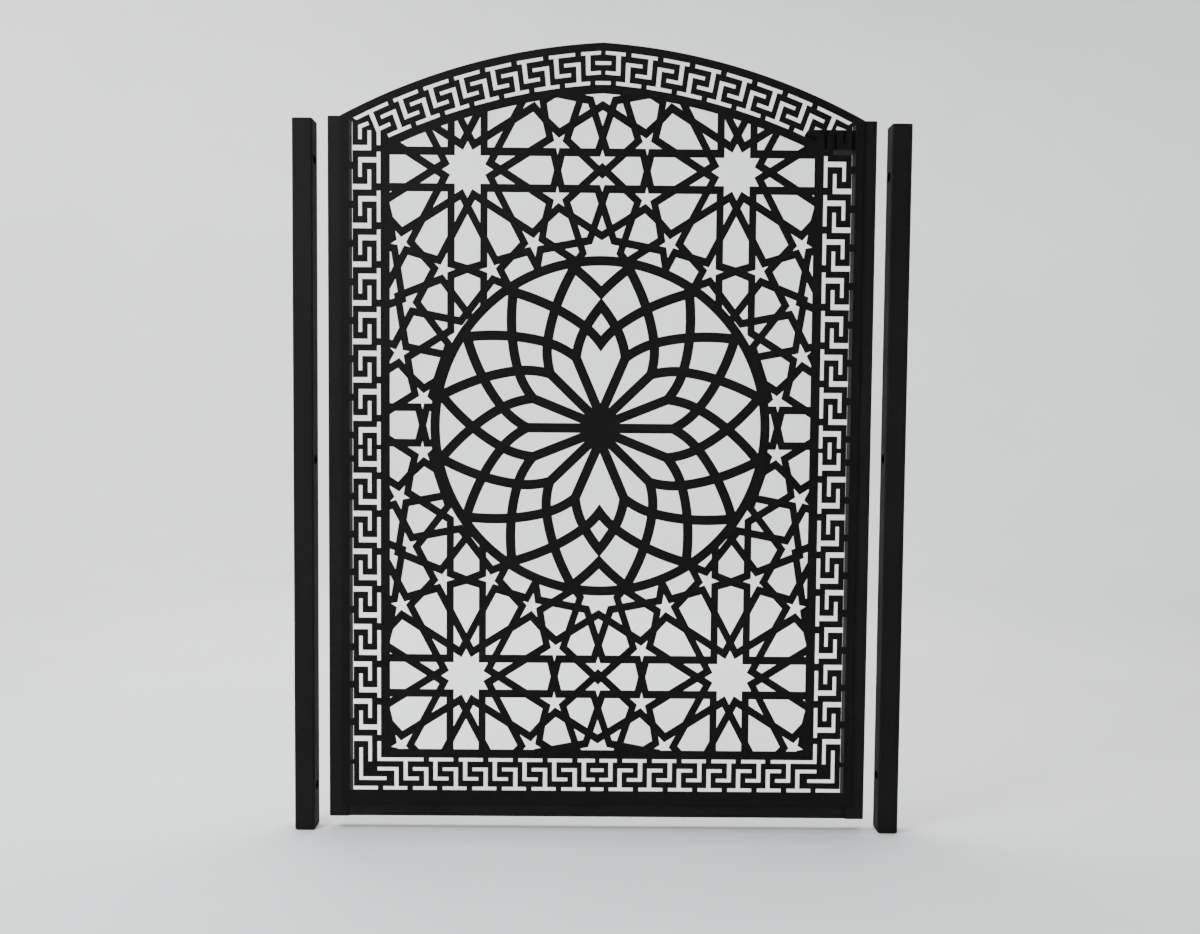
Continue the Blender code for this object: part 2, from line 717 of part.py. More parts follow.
def cut_sheet(name, outline, holes):
    """A flat sheet, its back on y = 0, with holes cut through it."""
    points, edges = [], []
    for loop in [outline] + holes:
        first = len(points)
        points += loop
        edges += [(first + k, first + (k + 1) % len(loop)) for k in range(len(loop))]
    corners, joints, triangles, _, sources, _ = delaunay_2d_cdt(points, edges, [], 0, 1e-6)
    walls = {frozenset(joint) for joint, source in zip(joints, sources) if source}

    beside_joint = {}
    for number, triangle in enumerate(triangles):
        for a, b in sides(list(triangle)):
            beside_joint.setdefault(frozenset((a, b)), []).append(number)
    metal = {}
    for joint, numbers in beside_joint.items():
        if len(numbers) == 1:
            metal[numbers[0]] = joint in walls
    queue = list(metal)
    while queue:
        number = queue.pop()
        for a, b in sides(list(triangles[number])):
            joint = frozenset((a, b))
            for other in beside_joint[joint]:
                if other not in metal:
                    metal[other] = metal[number] != (joint in walls)
                    queue.append(other)

    mesh = bmesh.new()
    layers = {}
    for number, triangle in enumerate(triangles):
        if metal[number]:
            for y in (-SHEET_THICKNESS, 0.0):
                for corner in triangle:
                    if (corner, y) not in layers:
                        place = corners[corner]
                        layers[corner, y] = mesh.verts.new((place.x, y, place.y))
                mesh.faces.new([layers[corner, y] for corner in triangle])
    for joint in walls:
        if sum(metal[number] for number in beside_joint[joint]) == 1:
            a, b = joint
            front, back = -SHEET_THICKNESS, 0.0
            mesh.faces.new((layers[a, front], layers[b, front], layers[b, back], layers[a, back]))
    bmesh.ops.recalc_face_normals(mesh, faces=mesh.faces[:])
    return add_object(name, mesh)


def square_profile(half, corner):
    """Rounded square, anticlockwise."""
    profile = []
    for quarter in range(4):
        centre = polar(math.sqrt(2) * (half - corner), 45 + 90 * quarter)
        for step in range(CORNER_STEPS + 1):
            profile.append(polar(corner, 90 * quarter + 90 * step / CORNER_STEPS, centre))
    return profile


def add_object(name, mesh):
    data = bpy.data.meshes.new(name)
    mesh.to_mesh(data)
    mesh.free()
    item = bpy.data.objects.new(name, data)
    bpy.context.scene.collection.objects.link(item)
    return item


def square_tube(name, length):
    """Hollow square tube along +Z from the origin, open at both ends."""
    mesh = bmesh.new()
    rings = []
    for half, corner in ((BOX_SIZE / 2, BOX_CORNER), (BOX_SIZE / 2 - BOX_WALL, BOX_CORNER - BOX_WALL)):
        for z in (0.0, length):
            rings.append([mesh.verts.new((p.x, p.y, z)) for p in square_profile(half, corner)])
    outer_low, outer_high, inner_low, inner_high = rings
    for first, second in ((outer_low, outer_high), (outer_high, inner_high),
                          (inner_high, inner_low), (inner_low, outer_low)):
        for (a, b), (c, d) in zip(sides(first), sides(second)):
            mesh.faces.new((a, b, d, c))
    bmesh.ops.recalc_face_normals(mesh, faces=mesh.faces[:])
    return add_object(name, mesh)


def end_cap(name, thickness, edge):
    """Square plate that closes a tube, rising from z = 0, with a chamfer round its upper face."""
    mesh = bmesh.new()
    rings = []
    for half, z in ((BOX_SIZE / 2, 0.0), (BOX_SIZE / 2, thickness - edge), (BOX_SIZE / 2 - edge, thickness)):
        rings.append([mesh.verts.new((p.x, p.y, z)) for p in square_profile(half, BOX_CORNER)])
    low, middle, high = rings
    mesh.faces.new(reversed(low))
    mesh.faces.new(high)
    for first, second in ((low, middle), (middle, high)):
        for (a, b), (c, d) in zip(sides(first), sides(second)):
            mesh.faces.new((a, b, d, c))
    bmesh.ops.recalc_face_normals(mesh, faces=mesh.faces[:])
    return add_object(name, mesh)


def drill(item, diameter, x, z):
    """Cuts a round hole, along X, through the wall of an upright tube at x."""
    mesh = bmesh.new()
    bmesh.ops.create_cone(mesh, cap_ends=True, segments=HOLE_SIDES, radius1=diameter / 2,
                          radius2=diameter / 2, depth=BOX_WALL * 6)
    cutter = add_object(item.name + "_drill", mesh)
    cutter.rotation_euler.y = math.pi / 2
    cutter.location = (x, 0.0, z)
    cutter.parent = item
    cutter.hide_render = True
    cutter.display_type = "WIRE"
    cut = item.modifiers.new("hole", "BOOLEAN")
    cut.operation = "DIFFERENCE"
    cut.solver = "EXACT"
    cut.object = cutter


def painted(item, colour, roughness):
    material = bpy.data.materials.new(item.name + "_paint")
    material.use_nodes = True
    surface = material.node_tree.nodes["Principled BSDF"]
    surface.inputs["Base Color"].default_value = colour
    surface.inputs["Roughness"].default_value = roughness
    surface.inputs["Metallic"].default_value = 0.0
    item.data.materials.append(material)


def put(item, root, location, rotation=(0.0, 0.0, 0.0), colour=STEEL_BLACK, roughness=0.45):
    item.parent = root
    item.location = location
    item.rotation_euler = rotation
    painted(item, colour, roughness)
    return item


def build_leaf(root):
    panel = cut_sheet("lattice_panel", sheet_outline(), key_slots() + star_holes() + rosette_holes())
    put(panel, root, (0.0, -CLEARANCE, 0.0), roughness=0.5)
    middle = BOX_SIZE / 2
    stile_length = STILE_HEIGHT - CAP_THICKNESS - CLEARANCE
    for side, name in ((-1, "left"), (1, "right")):
        x = side * (LEAF_WIDTH / 2 - middle)
        put(square_tube(name + "_stile", stile_length), root, (x, middle, 0.0))
        put(end_cap(name + "_stile_cap", CAP_THICKNESS, CAP_EDGE), root,
            (x, middle, STILE_HEIGHT - CAP_THICKNESS))
    rail_length = LEAF_WIDTH - 2 * BOX_SIZE - 2 * CLEARANCE
    put(square_tube("bottom_rail", rail_length), root,
        (-rail_length / 2, middle, middle), (0.0, math.pi / 2, 0.0))
    block_start = LEAF_WIDTH / 2 - BOX_SIZE - CLEARANCE - CORNER_BLOCK_LENGTH
    put(square_tube("corner_block", CORNER_BLOCK_LENGTH), root,
        (block_start, middle, CORNER_BLOCK_TOP - middle), (0.0, math.pi / 2, 0.0),
        STEEL_BLACK_WORN, 0.6)


def build_jamb(root, side, name, heights):
    middle = BOX_SIZE / 2
    x = side * (LEAF_WIDTH / 2 + JAMB_GAP + middle)
    foot = FOOT_CAP_THICKNESS + CLEARANCE - JAMB_DROP
    jamb = square_tube(name + "_jamb", JAMB_LENGTH - FOOT_CAP_THICKNESS - CAP_THICKNESS - 2 * CLEARANCE)
    for height in heights:
        drill(jamb, ACCESS_HOLE_DIAMETER, -side * middle, height - foot)
        drill(jamb, SCREW_HOLE_DIAMETER, side * middle, height - foot)
    put(jamb, root, (x, middle, foot), roughness=0.4)
    put(end_cap(name + "_jamb_foot_cap", FOOT_CAP_THICKNESS, FOOT_CAP_EDGE), root,
        (x, middle, FOOT_CAP_THICKNESS - JAMB_DROP), (math.pi, 0.0, 0.0))
    put(end_cap(name + "_jamb_head_cap", CAP_THICKNESS, CAP_EDGE), root,
        (x, middle, JAMB_LENGTH - JAMB_DROP - CAP_THICKNESS))


def main():
    for item in list(bpy.data.objects):
        bpy.data.objects.remove(item, do_unlink=True)
    root = bpy.data.objects.new("gate", None)
    bpy.context.scene.collection.objects.link(root)
    wall_face = LEAF_WIDTH / 2 + JAMB_GAP + BOX_SIZE
    root.location = (wall_face, -BOX_SIZE / 2, JAMB_DROP - JAMB_LENGTH / 2)
    build_leaf(root)
    build_jamb(root, -1, "left", LEFT_FIXINGS)
    build_jamb(root, 1, "right", RIGHT_FIXINGS)


main()
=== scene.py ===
"""Looks of the metal garden gate: its cut sheet, tubes, caps, paint, light and camera.

Metres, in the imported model's frame: +X across the gate, +Z up, the front faces -Y.  The sheet's
plan is worked out in the leaf's own frame (middle of the leaf's bottom edge) and then put in place.
"""

import math

import bmesh
import bpy
from mathutils import Matrix, Vector
from mathutils.geometry import delaunay_2d_cdt


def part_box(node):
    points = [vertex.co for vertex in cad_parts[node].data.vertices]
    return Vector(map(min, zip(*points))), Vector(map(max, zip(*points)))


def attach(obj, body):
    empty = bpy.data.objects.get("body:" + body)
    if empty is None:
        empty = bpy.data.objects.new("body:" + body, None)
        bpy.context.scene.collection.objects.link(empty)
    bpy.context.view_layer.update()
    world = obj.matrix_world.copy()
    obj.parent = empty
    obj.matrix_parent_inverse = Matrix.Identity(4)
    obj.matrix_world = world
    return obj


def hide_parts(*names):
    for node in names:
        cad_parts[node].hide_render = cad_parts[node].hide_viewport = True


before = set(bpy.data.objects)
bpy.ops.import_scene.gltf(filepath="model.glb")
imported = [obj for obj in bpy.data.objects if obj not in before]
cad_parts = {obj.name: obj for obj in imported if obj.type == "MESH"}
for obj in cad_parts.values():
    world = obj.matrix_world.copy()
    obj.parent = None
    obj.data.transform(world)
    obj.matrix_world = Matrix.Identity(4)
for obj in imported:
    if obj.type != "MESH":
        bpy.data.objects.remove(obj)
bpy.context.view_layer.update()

# ---- places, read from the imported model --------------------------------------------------
STILE_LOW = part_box("left_stile")[0]
LEAF_MIDDLE = (STILE_LOW[0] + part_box("right_stile")[1][0]) / 2
LEAF_FRONT = STILE_LOW[1]
LEAF_BOTTOM = STILE_LOW[2]
SHEET_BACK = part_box("lattice_panel")[1][1]
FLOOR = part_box("left_jamb_foot_cap")[0][2] - 0.0005      # just clear of the jambs' feet

# ---- tubes and caps ----------------------------------------------------------------------
BOX_SIZE = 0.040
BOX_WALL = 0.002
BOX_CORNER = 0.0040
CORNER_STEPS = 5
TUBE_SMOOTH = 35                 # degrees between faces that are shaded as one
CAP_SMOOTH = 50
CAP_EDGE = 0.0010
FOOT_CAP_EDGE = 0.0035
CAP_STEPS = 4                    # facets round a cap's outer edge
LEFT_FIXINGS = (0.056, 0.718, 1.313)     # above the leaf's bottom edge
RIGHT_FIXINGS = (0.083, 0.729, 1.290)
ACCESS_HOLE_DIAMETER = 0.020
SCREW_HOLE_DIAMETER = 0.011
HOLE_STEPS = 32
DRILL_LENGTH = 0.012

# ---- sheet -------------------------------------------------------------------------------
SHEET_THICKNESS = 0.003
SHEET_EDGE = 0.00035             # rounded by the paint
LONGEST_MITRE = 0.0015           # how far a sharp corner moves when its sides are rounded
SHEET_HALF_WIDTH = 0.5134
SHEET_BOTTOM = 0.027
ARCH_RADIUS = 1.2503             # two arcs that meet in a slight point at the crown
ARCH_SHIFT = 0.0749              # each arc's centre lies this far past the middle line
ARCH_CENTRE_Z = 0.2907
ARC_CHORD = 0.012                # longest straight step on an arc

# ---- key-pattern bands: rows across the band, keys along it ------------------------------
BOTTOM_BAND_TOP = 0.1210
BOTTOM_SLOT = 0.0077
BOTTOM_ROW_PITCH = 0.0195
BOTTOM_KEY_PITCH = 0.05983
BOTTOM_KEYS = 6                  # whole pairs of keys on each side of the middle
SIDE_BAND_INNER = 0.4352
SIDE_BAND_MIDDLE = 0.7455
SIDE_SLOT = 0.0073
SIDE_ROW_PITCH = 0.0182
SIDE_KEY_PITCH = 0.0756
SIDE_KEYS = 7
ARCH_BAND_INSET = 0.0151
ARCH_SLOT = 0.0076
ARCH_ROW_PITCH = 0.0191
ARCH_KEY_PITCH = 0.06167         # at the middle of the band
ARCH_KEY_START = 0.0019
ARCH_KEYS = 7
FIRST_BAR = (-0.150, 0.658)      # along the band, in key pitches: bar on the first row,
FIRST_STEM = (0.378, 0.516)      # stem across to the third, hook back along it
FIRST_HOOK = (0.004, 0.516)
SECOND_BAR = (0.395, 1.203)      # bar on the fourth row, stem to the second, hook onward
SECOND_STEM = (0.6865, 0.825)
SECOND_HOOK = (0.6865, 1.203)
MIDDLE_BRIDGE = 0.0048           # half the metal left on the band's middle line
MIDDLE_SLOT = 0.215              # half the short slots there, in key pitches

# ---- where the bands turn their corners --------------------------------------------------
THIRD_FOOT = 7.09                # inner ends of the corner slots' feet, in bottom key pitches
FOURTH_FOOT = 7.38
THIRD_HEAD_DROP = 0.002          # the third column's head, below the bridge over it
FOURTH_HEAD_RISE = 0.006         # heads and ends above the bottom band's second row
COLUMN_BAR_RISE = 0.0155
COLUMN_HOOK_RISE = 0.0110
ARCH_TIP = 0.031                 # past the arch's last stem: the tip of its end slot,
ARCH_TIP_SLANT = 0.0045          # how far that slot's slanted end comes back,
BEND_START = 0.0075              # and the bend below it, from its start
BEND_INNER = 0.0205              # to its corners
BEND_OUTER = 0.0235
SLANTED_HEAD = (1.3808, 1.3880)  # heights of the fourth column's slanted head

# ---- star field: twelve- and nine-petal rosettes, drawn regular, then stretched upright ---
LATTICE = 0.5289                 # between neighbouring twelve-petal rosettes
STRETCH = 1.0957
FIELD_MIDDLE_Z = 0.7897          # height of the twelve-petal rosette behind the middle ring
TWELVE_REACH = 0.1766            # centre to the outer points of its petals
STAR_BAR = 0.0143
PETAL_HALF = 0.0323              # a petal's side lines lie this far from its axis
FIELD_HALF_WIDTH = 0.4170
FIELD_BOTTOM = 0.1383
FIELD_ARCH_INSET = 0.0972        # from the sheet's arched edge
SMALLEST_HOLE = 0.000005         # square metres; slivers below this stay uncut

# ---- middle rosette ----------------------------------------------------------------------
RING_CENTRE_Z = 0.7888
RING_OUTER = 0.3369
RING_INNER = 0.3182
ROSETTE_CENTRE_Z = 0.7865
ROSETTE_FOLD = 16
ROSETTE_WIDEN = 1.033            # drawn regular, then widened
ARM_BAR = 0.0193
ARM_NODE_RADIUS = 0.3214         # where two arms part, within the ring
ARM_SHRINK = 0.7935              # radius ratio over half a petal's turn
ARM_BEND = 0.063                 # how much its last half petal bends in to the spoke
ARM_HALF_TURNS = 3               # half petals from the ring to the spoke
ARM_STEPS = 8                    # straight steps in a half petal
ROSETTE_LEAN = 0.0108            # each half's own centre lies this far past the middle line
RIM_REACH = 1.08                 # radius of the rim that closes the arms, in ARM_NODE_RADIUS

# ---- paint -------------------------------------------------------------------------------
SHEET_BLACK = (0.0054, 0.0051, 0.0047, 1.0)
FRAME_BLACK = (0.0080, 0.0078, 0.0073, 1.0)
JAMB_BLACK = (0.0076, 0.0073, 0.0068, 1.0)
# the corner block's black is far darker than the rest of the coat: painted shade, standing in for
# the deep shadow behind the sheet
BLOCK_BLACK_PAINTED_SHADE = (0.0030, 0.0030, 0.0031, 1.0)
DUST = (0.16, 0.15, 0.135, 1.0)
COAT_SPECULAR = 0.085
PALER = 1.5                      # how much the palest patches reflect, against the darkest
BROAD_SCALE = 2.3                # patches of tone, clouds of sheen and flecks of dust, per metre
CLOUD_SCALE = 13.0
FLECK_SCALE = 700.0
FLECK_SHARE = 0.12
PEEL_SCALE = 900.0               # the coat's orange peel, fine and coarse
COARSE_PEEL_SCALE = 300.0
PEEL_SHARE = 0.6
PEEL_STRENGTH = 0.30
PEEL_HEIGHT = 0.0002

# ---- studio, light and camera ------------------------------------------------------------
STUDIO_PALE = (0.78, 0.79, 0.80, 1.0)
STUDIO_PALEST = (0.82, 0.83, 0.84, 1.0)
STUDIO_RADIUS = 5.5
STUDIO_HEIGHT = 6.0
STUDIO_SIDES = 96
SWEEP_RADIUS = 2.0
SWEEP_STEPS = 16
SWEEP_SMOOTH = 60
WORLD_STRENGTH = 0.22
WORLD_WARM = (1.0, 0.985, 0.96, 1.0)
KEY_PLACE = (-1.7, -1.3, 1.6)    # lights and what they face: across from the leaf's middle, Y, Z
KEY_AIM = (0.0, 0.0, 0.2)
KEY_SIZE = (0.9, 0.9)
KEY_WATTS = 66.0
KEY_COOL = (0.92, 0.97, 1.0)
OVER_PLACE = (0.0, 0.6, 3.4)
OVER_AIM = (0.0, 0.6, 0.0)
OVER_SIZE = (4.0, 2.0)
OVER_WATTS = 190.0
WASH_PLACE = (-1.4, 1.2, 3.2)
WASH_AIM = (-1.4, STUDIO_RADIUS, 0.8)
WASH_SIZE = (4.0, 0.8)
WASH_WATTS = 210.0
WHITE = (1.0, 1.0, 1.0)
CAMERA_LENS = 30.0
CAMERA_PLACE = (-0.010, 1.989, 0.798)    # across, back and up from the leaf's bottom middle
CAMERA_YAW = -0.30               # degrees
CAMERA_PITCH = -2.55
CAMERA_ROLL = 0.50

# ---- tolerances --------------------------------------------------------------------------
TINY = 1e-6
SAME_PLACE = 4e-5                # points closer than this are one
SLACK = 1e-5                     # segments that miss each other by less still cross
SHORTEST_SIDE = 0.0005           # of a tidied loop
STRAIGHT = 0.004                 # sine of the least turn that keeps a corner


# ---- plane geometry ----------------------------------------------------------------------

def polar(radius, degrees, centre=(0.0, 0.0)):
    angle = math.radians(degrees)
    return Vector((centre[0] + radius * math.cos(angle), centre[1] + radius * math.sin(angle)))


def cross(u, v):
    return u.x * v.y - u.y * v.x


def beside(point, degrees, offset=0.0):
    """Endless line (a point and a direction) parallel to a direction, moved to its left."""
    along = polar(1.0, degrees)
    return point + Vector((-along.y, along.x)) * offset, along


def through(p, q):
    return p, (q - p).normalized()


def meet(line_a, line_b):
    (p, u), (q, v) = line_a, line_b
    return p + u * (cross(q - p, v) / cross(u, v))


def sides(loop):
    return zip(loop, loop[1:] + loop[:1])


def signed_area(loop):
    return sum(cross(p, q) for p, q in sides(loop)) / 2.0


def mirrored(loop):
    return [Vector((-p.x, p.y)) for p in reversed(loop)]


def crossing_of(p, q, r, s):
    """Where two segments cross or touch, or None."""
    u, v = q - p, s - r
    turn = cross(u, v)
    if abs(turn) < 1e-9:
        return None
    along_first = cross(r - p, v) / turn
    along_second = cross(r - p, u) / turn
    slack_first, slack_second = SLACK / u.length, SLACK / v.length
    if not -slack_first < along_first < 1 + slack_first:
        return None
    if not -slack_second < along_second < 1 + slack_second:
        return None
    return p + u * along_first


class Nodes:
    """Numbers points, giving the same number to points that coincide."""

    def __init__(self):
        self.points = []
        self.cells = {}

    def number(self, point):
        cell = (round(point.x / SAME_PLACE), round(point.y / SAME_PLACE))
        for dx in (-1, 0, 1):
            for dy in (-1, 0, 1):
                found = self.cells.get((cell[0] + dx, cell[1] + dy))
                if found is not None and (self.points[found] - point).length < SAME_PLACE:
                    return found
        self.cells[cell] = len(self.points)
        self.points.append(point)
        return self.cells[cell]


def faces_of(bars):
    """Faces enclosed by a network of bars, each bar being (end, end, half width).

    A face is an anticlockwise list of (corner, half width of the bar that starts there).
    """
    bars = sorted(bars, key=lambda bar: min(bar[0].x, bar[1].x))
    cuts = [[p, q] for p, q, half in bars]
    for i, (p, q, half) in enumerate(bars):
        right = max(p.x, q.x) + TINY
        for j in range(i + 1, len(bars)):
            r, s = bars[j][:2]
            if min(r.x, s.x) > right:
                break
            crossing = crossing_of(p, q, r, s)
            if crossing:
                cuts[i].append(crossing)
                cuts[j].append(crossing)

    nodes, around, width = Nodes(), {}, {}
    for (p, q, half), marks in zip(bars, cuts):
        marks.sort(key=lambda mark: (mark - p).dot(q - p))
        chain = [nodes.number(mark) for mark in marks]
        for a, b in zip(chain, chain[1:]):
            if a != b:
                around.setdefault(a, set()).add(b)
                around.setdefault(b, set()).add(a)
                width[a, b] = width[b, a] = half

    loose = [a for a in around if len(around[a]) == 1]
    while loose:
        a = loose.pop()
        if len(around[a]) == 1:
            b = around[a].pop()
            around[b].discard(a)
            loose.append(b)

    def bearing(a, b):
        step = nodes.points[b] - nodes.points[a]
        return math.atan2(step.y, step.x)

    following = {}
    for a, others in around.items():
        turned = sorted(others, key=lambda b: bearing(a, b))
        for k, b in enumerate(turned):
            following[b, a] = (a, turned[k - 1])

    faces, used = [], set()
    for start in following:
        face, side = [], start
        while side not in used:
            used.add(side)
            face.append((nodes.points[side[0]], width[side]))
            side = following[side]
        if len(face) > 2 and signed_area([corner for corner, half in face]) > TINY:
            faces.append(face)
    return faces


def hole_in(face):
    """Opening left in a face once its bars have their width; empty if the bars fill it."""
    corners = [corner for corner, half in face]
    lines = []
    for k, (corner, half) in enumerate(face):
        along = (corners[(k + 1) % len(corners)] - corner).normalized()
        straight_on = lines and cross(lines[-1][1], along) ** 2 < TINY and lines[-1][2] == half
        if not straight_on:
            lines.append((corner + Vector((-along.y, along.x)) * half, along, half))
    if cross(lines[-1][1], lines[0][1]) ** 2 < TINY and lines[-1][2] == lines[0][2]:
        lines.pop(0)
    while len(lines) > 2:
        pairs = list(zip(lines[-1:] + lines, lines))
        if any(abs(cross(before[1], line[1])) < TINY for before, line in pairs):
            return []
        loop = [meet(before[:2], line[:2]) for before, line in pairs]
        lengths = [(q - p).dot(line[1]) for (p, q), line in zip(sides(loop), lines)]
        if min(lengths) > 0:
            return loop
        lines.pop(lengths.index(min(lengths)))
    return []


class StraightEdge:
    """Edge of a region that lies on the left of a line."""

    def __init__(self, point, degrees):
        self.point = Vector(point)
        self.along = polar(1.0, degrees)

    def depth(self, p):
        return cross(self.along, p - self.point)

    def crossings(self, p, q):
        before, after = self.depth(p), self.depth(q)
        return [before / (before - after)] if (before > 0) != (after > 0) else []

    def way(self, p, q):
        step = (q - p).dot(self.along)
        return step if step > -TINY else math.inf

    def between(self, p, q):
        return []


class RoundEdge:
    """Edge of a region that is a disc (turn = 1) or all that lies round one (turn = -1)."""

    def __init__(self, centre, radius, turn):
        self.centre = Vector(centre)
        self.radius = radius
        self.turn = turn

    def depth(self, p):
        return (self.radius - (p - self.centre).length) * self.turn

    def crossings(self, p, q):
        step, start = q - p, p - self.centre
        square, linear = step.length_squared, step.dot(start)
        inner = linear ** 2 - square * (start.length_squared - self.radius ** 2)
        if inner <= 0:
            return []
        roots = [(-linear + sign * math.sqrt(inner)) / square for sign in (-1, 1)]
        return [root for root in roots if 0 <= root < 1]

    def angle(self, p):
        return math.degrees(math.atan2(p.y - self.centre.y, p.x - self.centre.x))

    def way(self, p, q):
        return (self.turn * (self.angle(q) - self.angle(p)) + TINY) % 360

    def between(self, p, q, chord=ARC_CHORD):
        sweep = self.way(p, q)
        steps = math.ceil(math.radians(sweep) * self.radius / chord)
        start = self.angle(p)
        turns = [self.turn * sweep * k / steps for k in range(1, steps)]
        return [polar(self.radius, start + turn, self.centre) for turn in turns]


def clipped(loop, edge):
    """Parts of a loop inside a region."""
    runs, lead = [], []
    for p, q in sides(loop):
        (runs[-1] if runs else lead).append(p)
        for part in edge.crossings(p, q):
            mark = p.lerp(q, part)
            (runs[-1] if runs else lead).append(mark)
            runs.append([mark])
    if not runs:
        return [loop] if edge.depth(loop[0]) > 0 else []
    runs[-1] += lead
    kept = [run for run in runs if edge.depth((run[0] + run[1]) / 2) > 0]
    parts = []
    while kept:
        first = kept.pop()
        part = list(first)
        while True:
            onward = min(kept + [first], key=lambda run: edge.way(part[-1], run[0]))
            part += edge.between(part[-1], onward[0])
            if onward is first:
                break
            kept.remove(onward)
            part += onward
        parts.append(part)
    return parts


def tidied(loop):
    """The loop without doubled points and without points on a straight line."""
    kept = []
    for k, p in enumerate(loop):
        if (loop[k - 1] - p).length > SHORTEST_SIDE:
            kept.append(p)
    corners = []
    for k, p in enumerate(kept):
        back = (p - kept[k - 1]).normalized()
        ahead = (kept[(k + 1) % len(kept)] - p).normalized()
        if abs(cross(back, ahead)) > STRAIGHT:
            corners.append(p)
    return corners


# ---- key-pattern bands -------------------------------------------------------------------

class Band:
    """A key-pattern band: `place` turns (along, across) into a point of the sheet."""

    def __init__(self, pitch, slot, row_pitch, start, place):
        self.pitch, self.slot, self.row_pitch, self.start = pitch, slot, row_pitch, start
        self.place = place

    def row(self, number):
        """Near and far edge of a row, 0 being the first."""
        return number * self.row_pitch, number * self.row_pitch + self.slot

    def along(self, parts, key):
        return [max(self.start + self.pitch * (part + key), MIDDLE_BRIDGE) for part in parts]

    def outline(self, corners):
        return [self.place(along, across) for along, across in corners]

    def first_key(self, key):
        """Bar on the first row, stem to the third row and a hook back along it."""
        bar, stem, hook = [self.along(part, key) for part in (FIRST_BAR, FIRST_STEM, FIRST_HOOK)]
        near, bar_foot = self.row(0)
        hook_head, far = self.row(2)
        return self.outline((
            (bar[0], near), (bar[1], near), (bar[1], bar_foot), (stem[1], bar_foot),
            (stem[1], far), (hook[0], far), (hook[0], hook_head), (stem[0], hook_head),
            (stem[0], bar_foot), (bar[0], bar_foot)))

    def second_key(self, key, bar_end=None, hook_end=None):
        """Bar on the fourth row, stem to the second row and a hook onward along it."""
        bar, stem, hook = [self.along(part, key) for part in (SECOND_BAR, SECOND_STEM, SECOND_HOOK)]
        bar_end, hook_end = bar_end or bar[1], hook_end or hook[1]
        near, hook_foot = self.row(1)
        bar_head, far = self.row(3)
        return self.outline((
            (stem[0], near), (hook_end, near), (hook_end, hook_foot), (stem[1], hook_foot),
            (stem[1], bar_head), (bar_end, bar_head), (bar_end, far), (bar[0], far),
            (bar[0], bar_head), (stem[0], bar_head)))

    def middle_slots(self):
        """The two short slots across the band's middle line."""
        half = self.start + self.pitch * MIDDLE_SLOT
        slots = []
        for near, far in (self.row(1), self.row(3)):
            slots.append(self.outline(((-half, near), (half, near), (half, far), (-half, far))))
        return slots


def arch_place(along, across):
    """Point of the arched band's right half, measured from its crown line."""
    radius = ARCH_RADIUS - ARCH_BAND_INSET - across
    middle_radius = ARCH_RADIUS - ARCH_BAND_INSET - 2 * ARCH_ROW_PITCH + ARCH_SLOT / 2
    turn = math.asin(ARCH_SHIFT / radius) + abs(along) / middle_radius
    x = radius * math.sin(turn) - ARCH_SHIFT
    return Vector((math.copysign(x, along), ARCH_CENTRE_Z + radius * math.cos(turn)))


def side_place(upward):
    def place(along, across):
        return Vector((SIDE_BAND_INNER + across, SIDE_BAND_MIDDLE + upward * along))
    return place


def bottom_place(along, across):
    return Vector((along, BOTTOM_BAND_TOP - across))


BOTTOM_BAND = Band(BOTTOM_KEY_PITCH, BOTTOM_SLOT, BOTTOM_ROW_PITCH, 0.0, bottom_place)
UPPER_SIDE_BAND = Band(SIDE_KEY_PITCH, SIDE_SLOT, SIDE_ROW_PITCH, 0.0, side_place(1))
LOWER_SIDE_BAND = Band(SIDE_KEY_PITCH, SIDE_SLOT, SIDE_ROW_PITCH, 0.0, side_place(-1))
ARCH_BAND = Band(ARCH_KEY_PITCH, ARCH_SLOT, ARCH_ROW_PITCH, ARCH_KEY_START, arch_place)


def column(number):
    """Inner and outer edge of a row of the side band."""
    near, far = UPPER_SIDE_BAND.row(number)
    return SIDE_BAND_INNER + near, SIDE_BAND_INNER + far


def level(number):
    """Lower and upper edge of a row of the bottom band."""
    near, far = BOTTOM_BAND.row(number)
    return BOTTOM_BAND_TOP - far, BOTTOM_BAND_TOP - near


def corner_slot(number, top, inner_end):
    """Slot that comes down a column and turns inward along the row of the same number."""
    inner, outer = column(number)
    low, high = level(number)
    return [Vector(corner) for corner in (
        (inner_end, low), (outer, low), (outer, top),
        (inner, top), (inner, high), (inner_end, high))]


def bottom_corner_slots():
    """Slots that lead the bottom band round its right corner."""
    inner, outer = column(0)
    low, high = level(0)
    hook_low, hook_high = level(2)
    bar = BOTTOM_BAND.along(FIRST_BAR, BOTTOM_KEYS)
    stem = BOTTOM_BAND.along(FIRST_STEM, BOTTOM_KEYS)
    hook = BOTTOM_BAND.along(FIRST_HOOK, BOTTOM_KEYS)
    top = SIDE_BAND_MIDDLE - SIDE_KEY_PITCH * (SIDE_KEYS + SECOND_STEM[1])
    inner_slot = [Vector(corner) for corner in (
        (bar[0], low), (stem[0], low), (stem[0], hook_high), (hook[0], hook_high),
        (hook[0], hook_low), (stem[1], hook_low), (stem[1], low), (outer, low),
        (outer, top), (inner, top), (inner, high), (bar[0], high))]
    bridge = SIDE_ROW_PITCH - SIDE_SLOT
    second_row = level(1)[1]
    third = corner_slot(2, top - bridge - THIRD_HEAD_DROP, BOTTOM_KEY_PITCH * THIRD_FOOT)
    fourth = corner_slot(3, second_row + FOURTH_HEAD_RISE, BOTTOM_KEY_PITCH * FOURTH_FOOT)
    row_end = BOTTOM_BAND.second_key(BOTTOM_KEYS, hook_end=outer)
    column_end = LOWER_SIDE_BAND.second_key(
        SIDE_KEYS,
        bar_end=SIDE_BAND_MIDDLE - second_row - COLUMN_BAR_RISE,
        hook_end=SIDE_BAND_MIDDLE - second_row - COLUMN_HOOK_RISE)
    return [inner_slot, third, fourth, row_end, column_end]


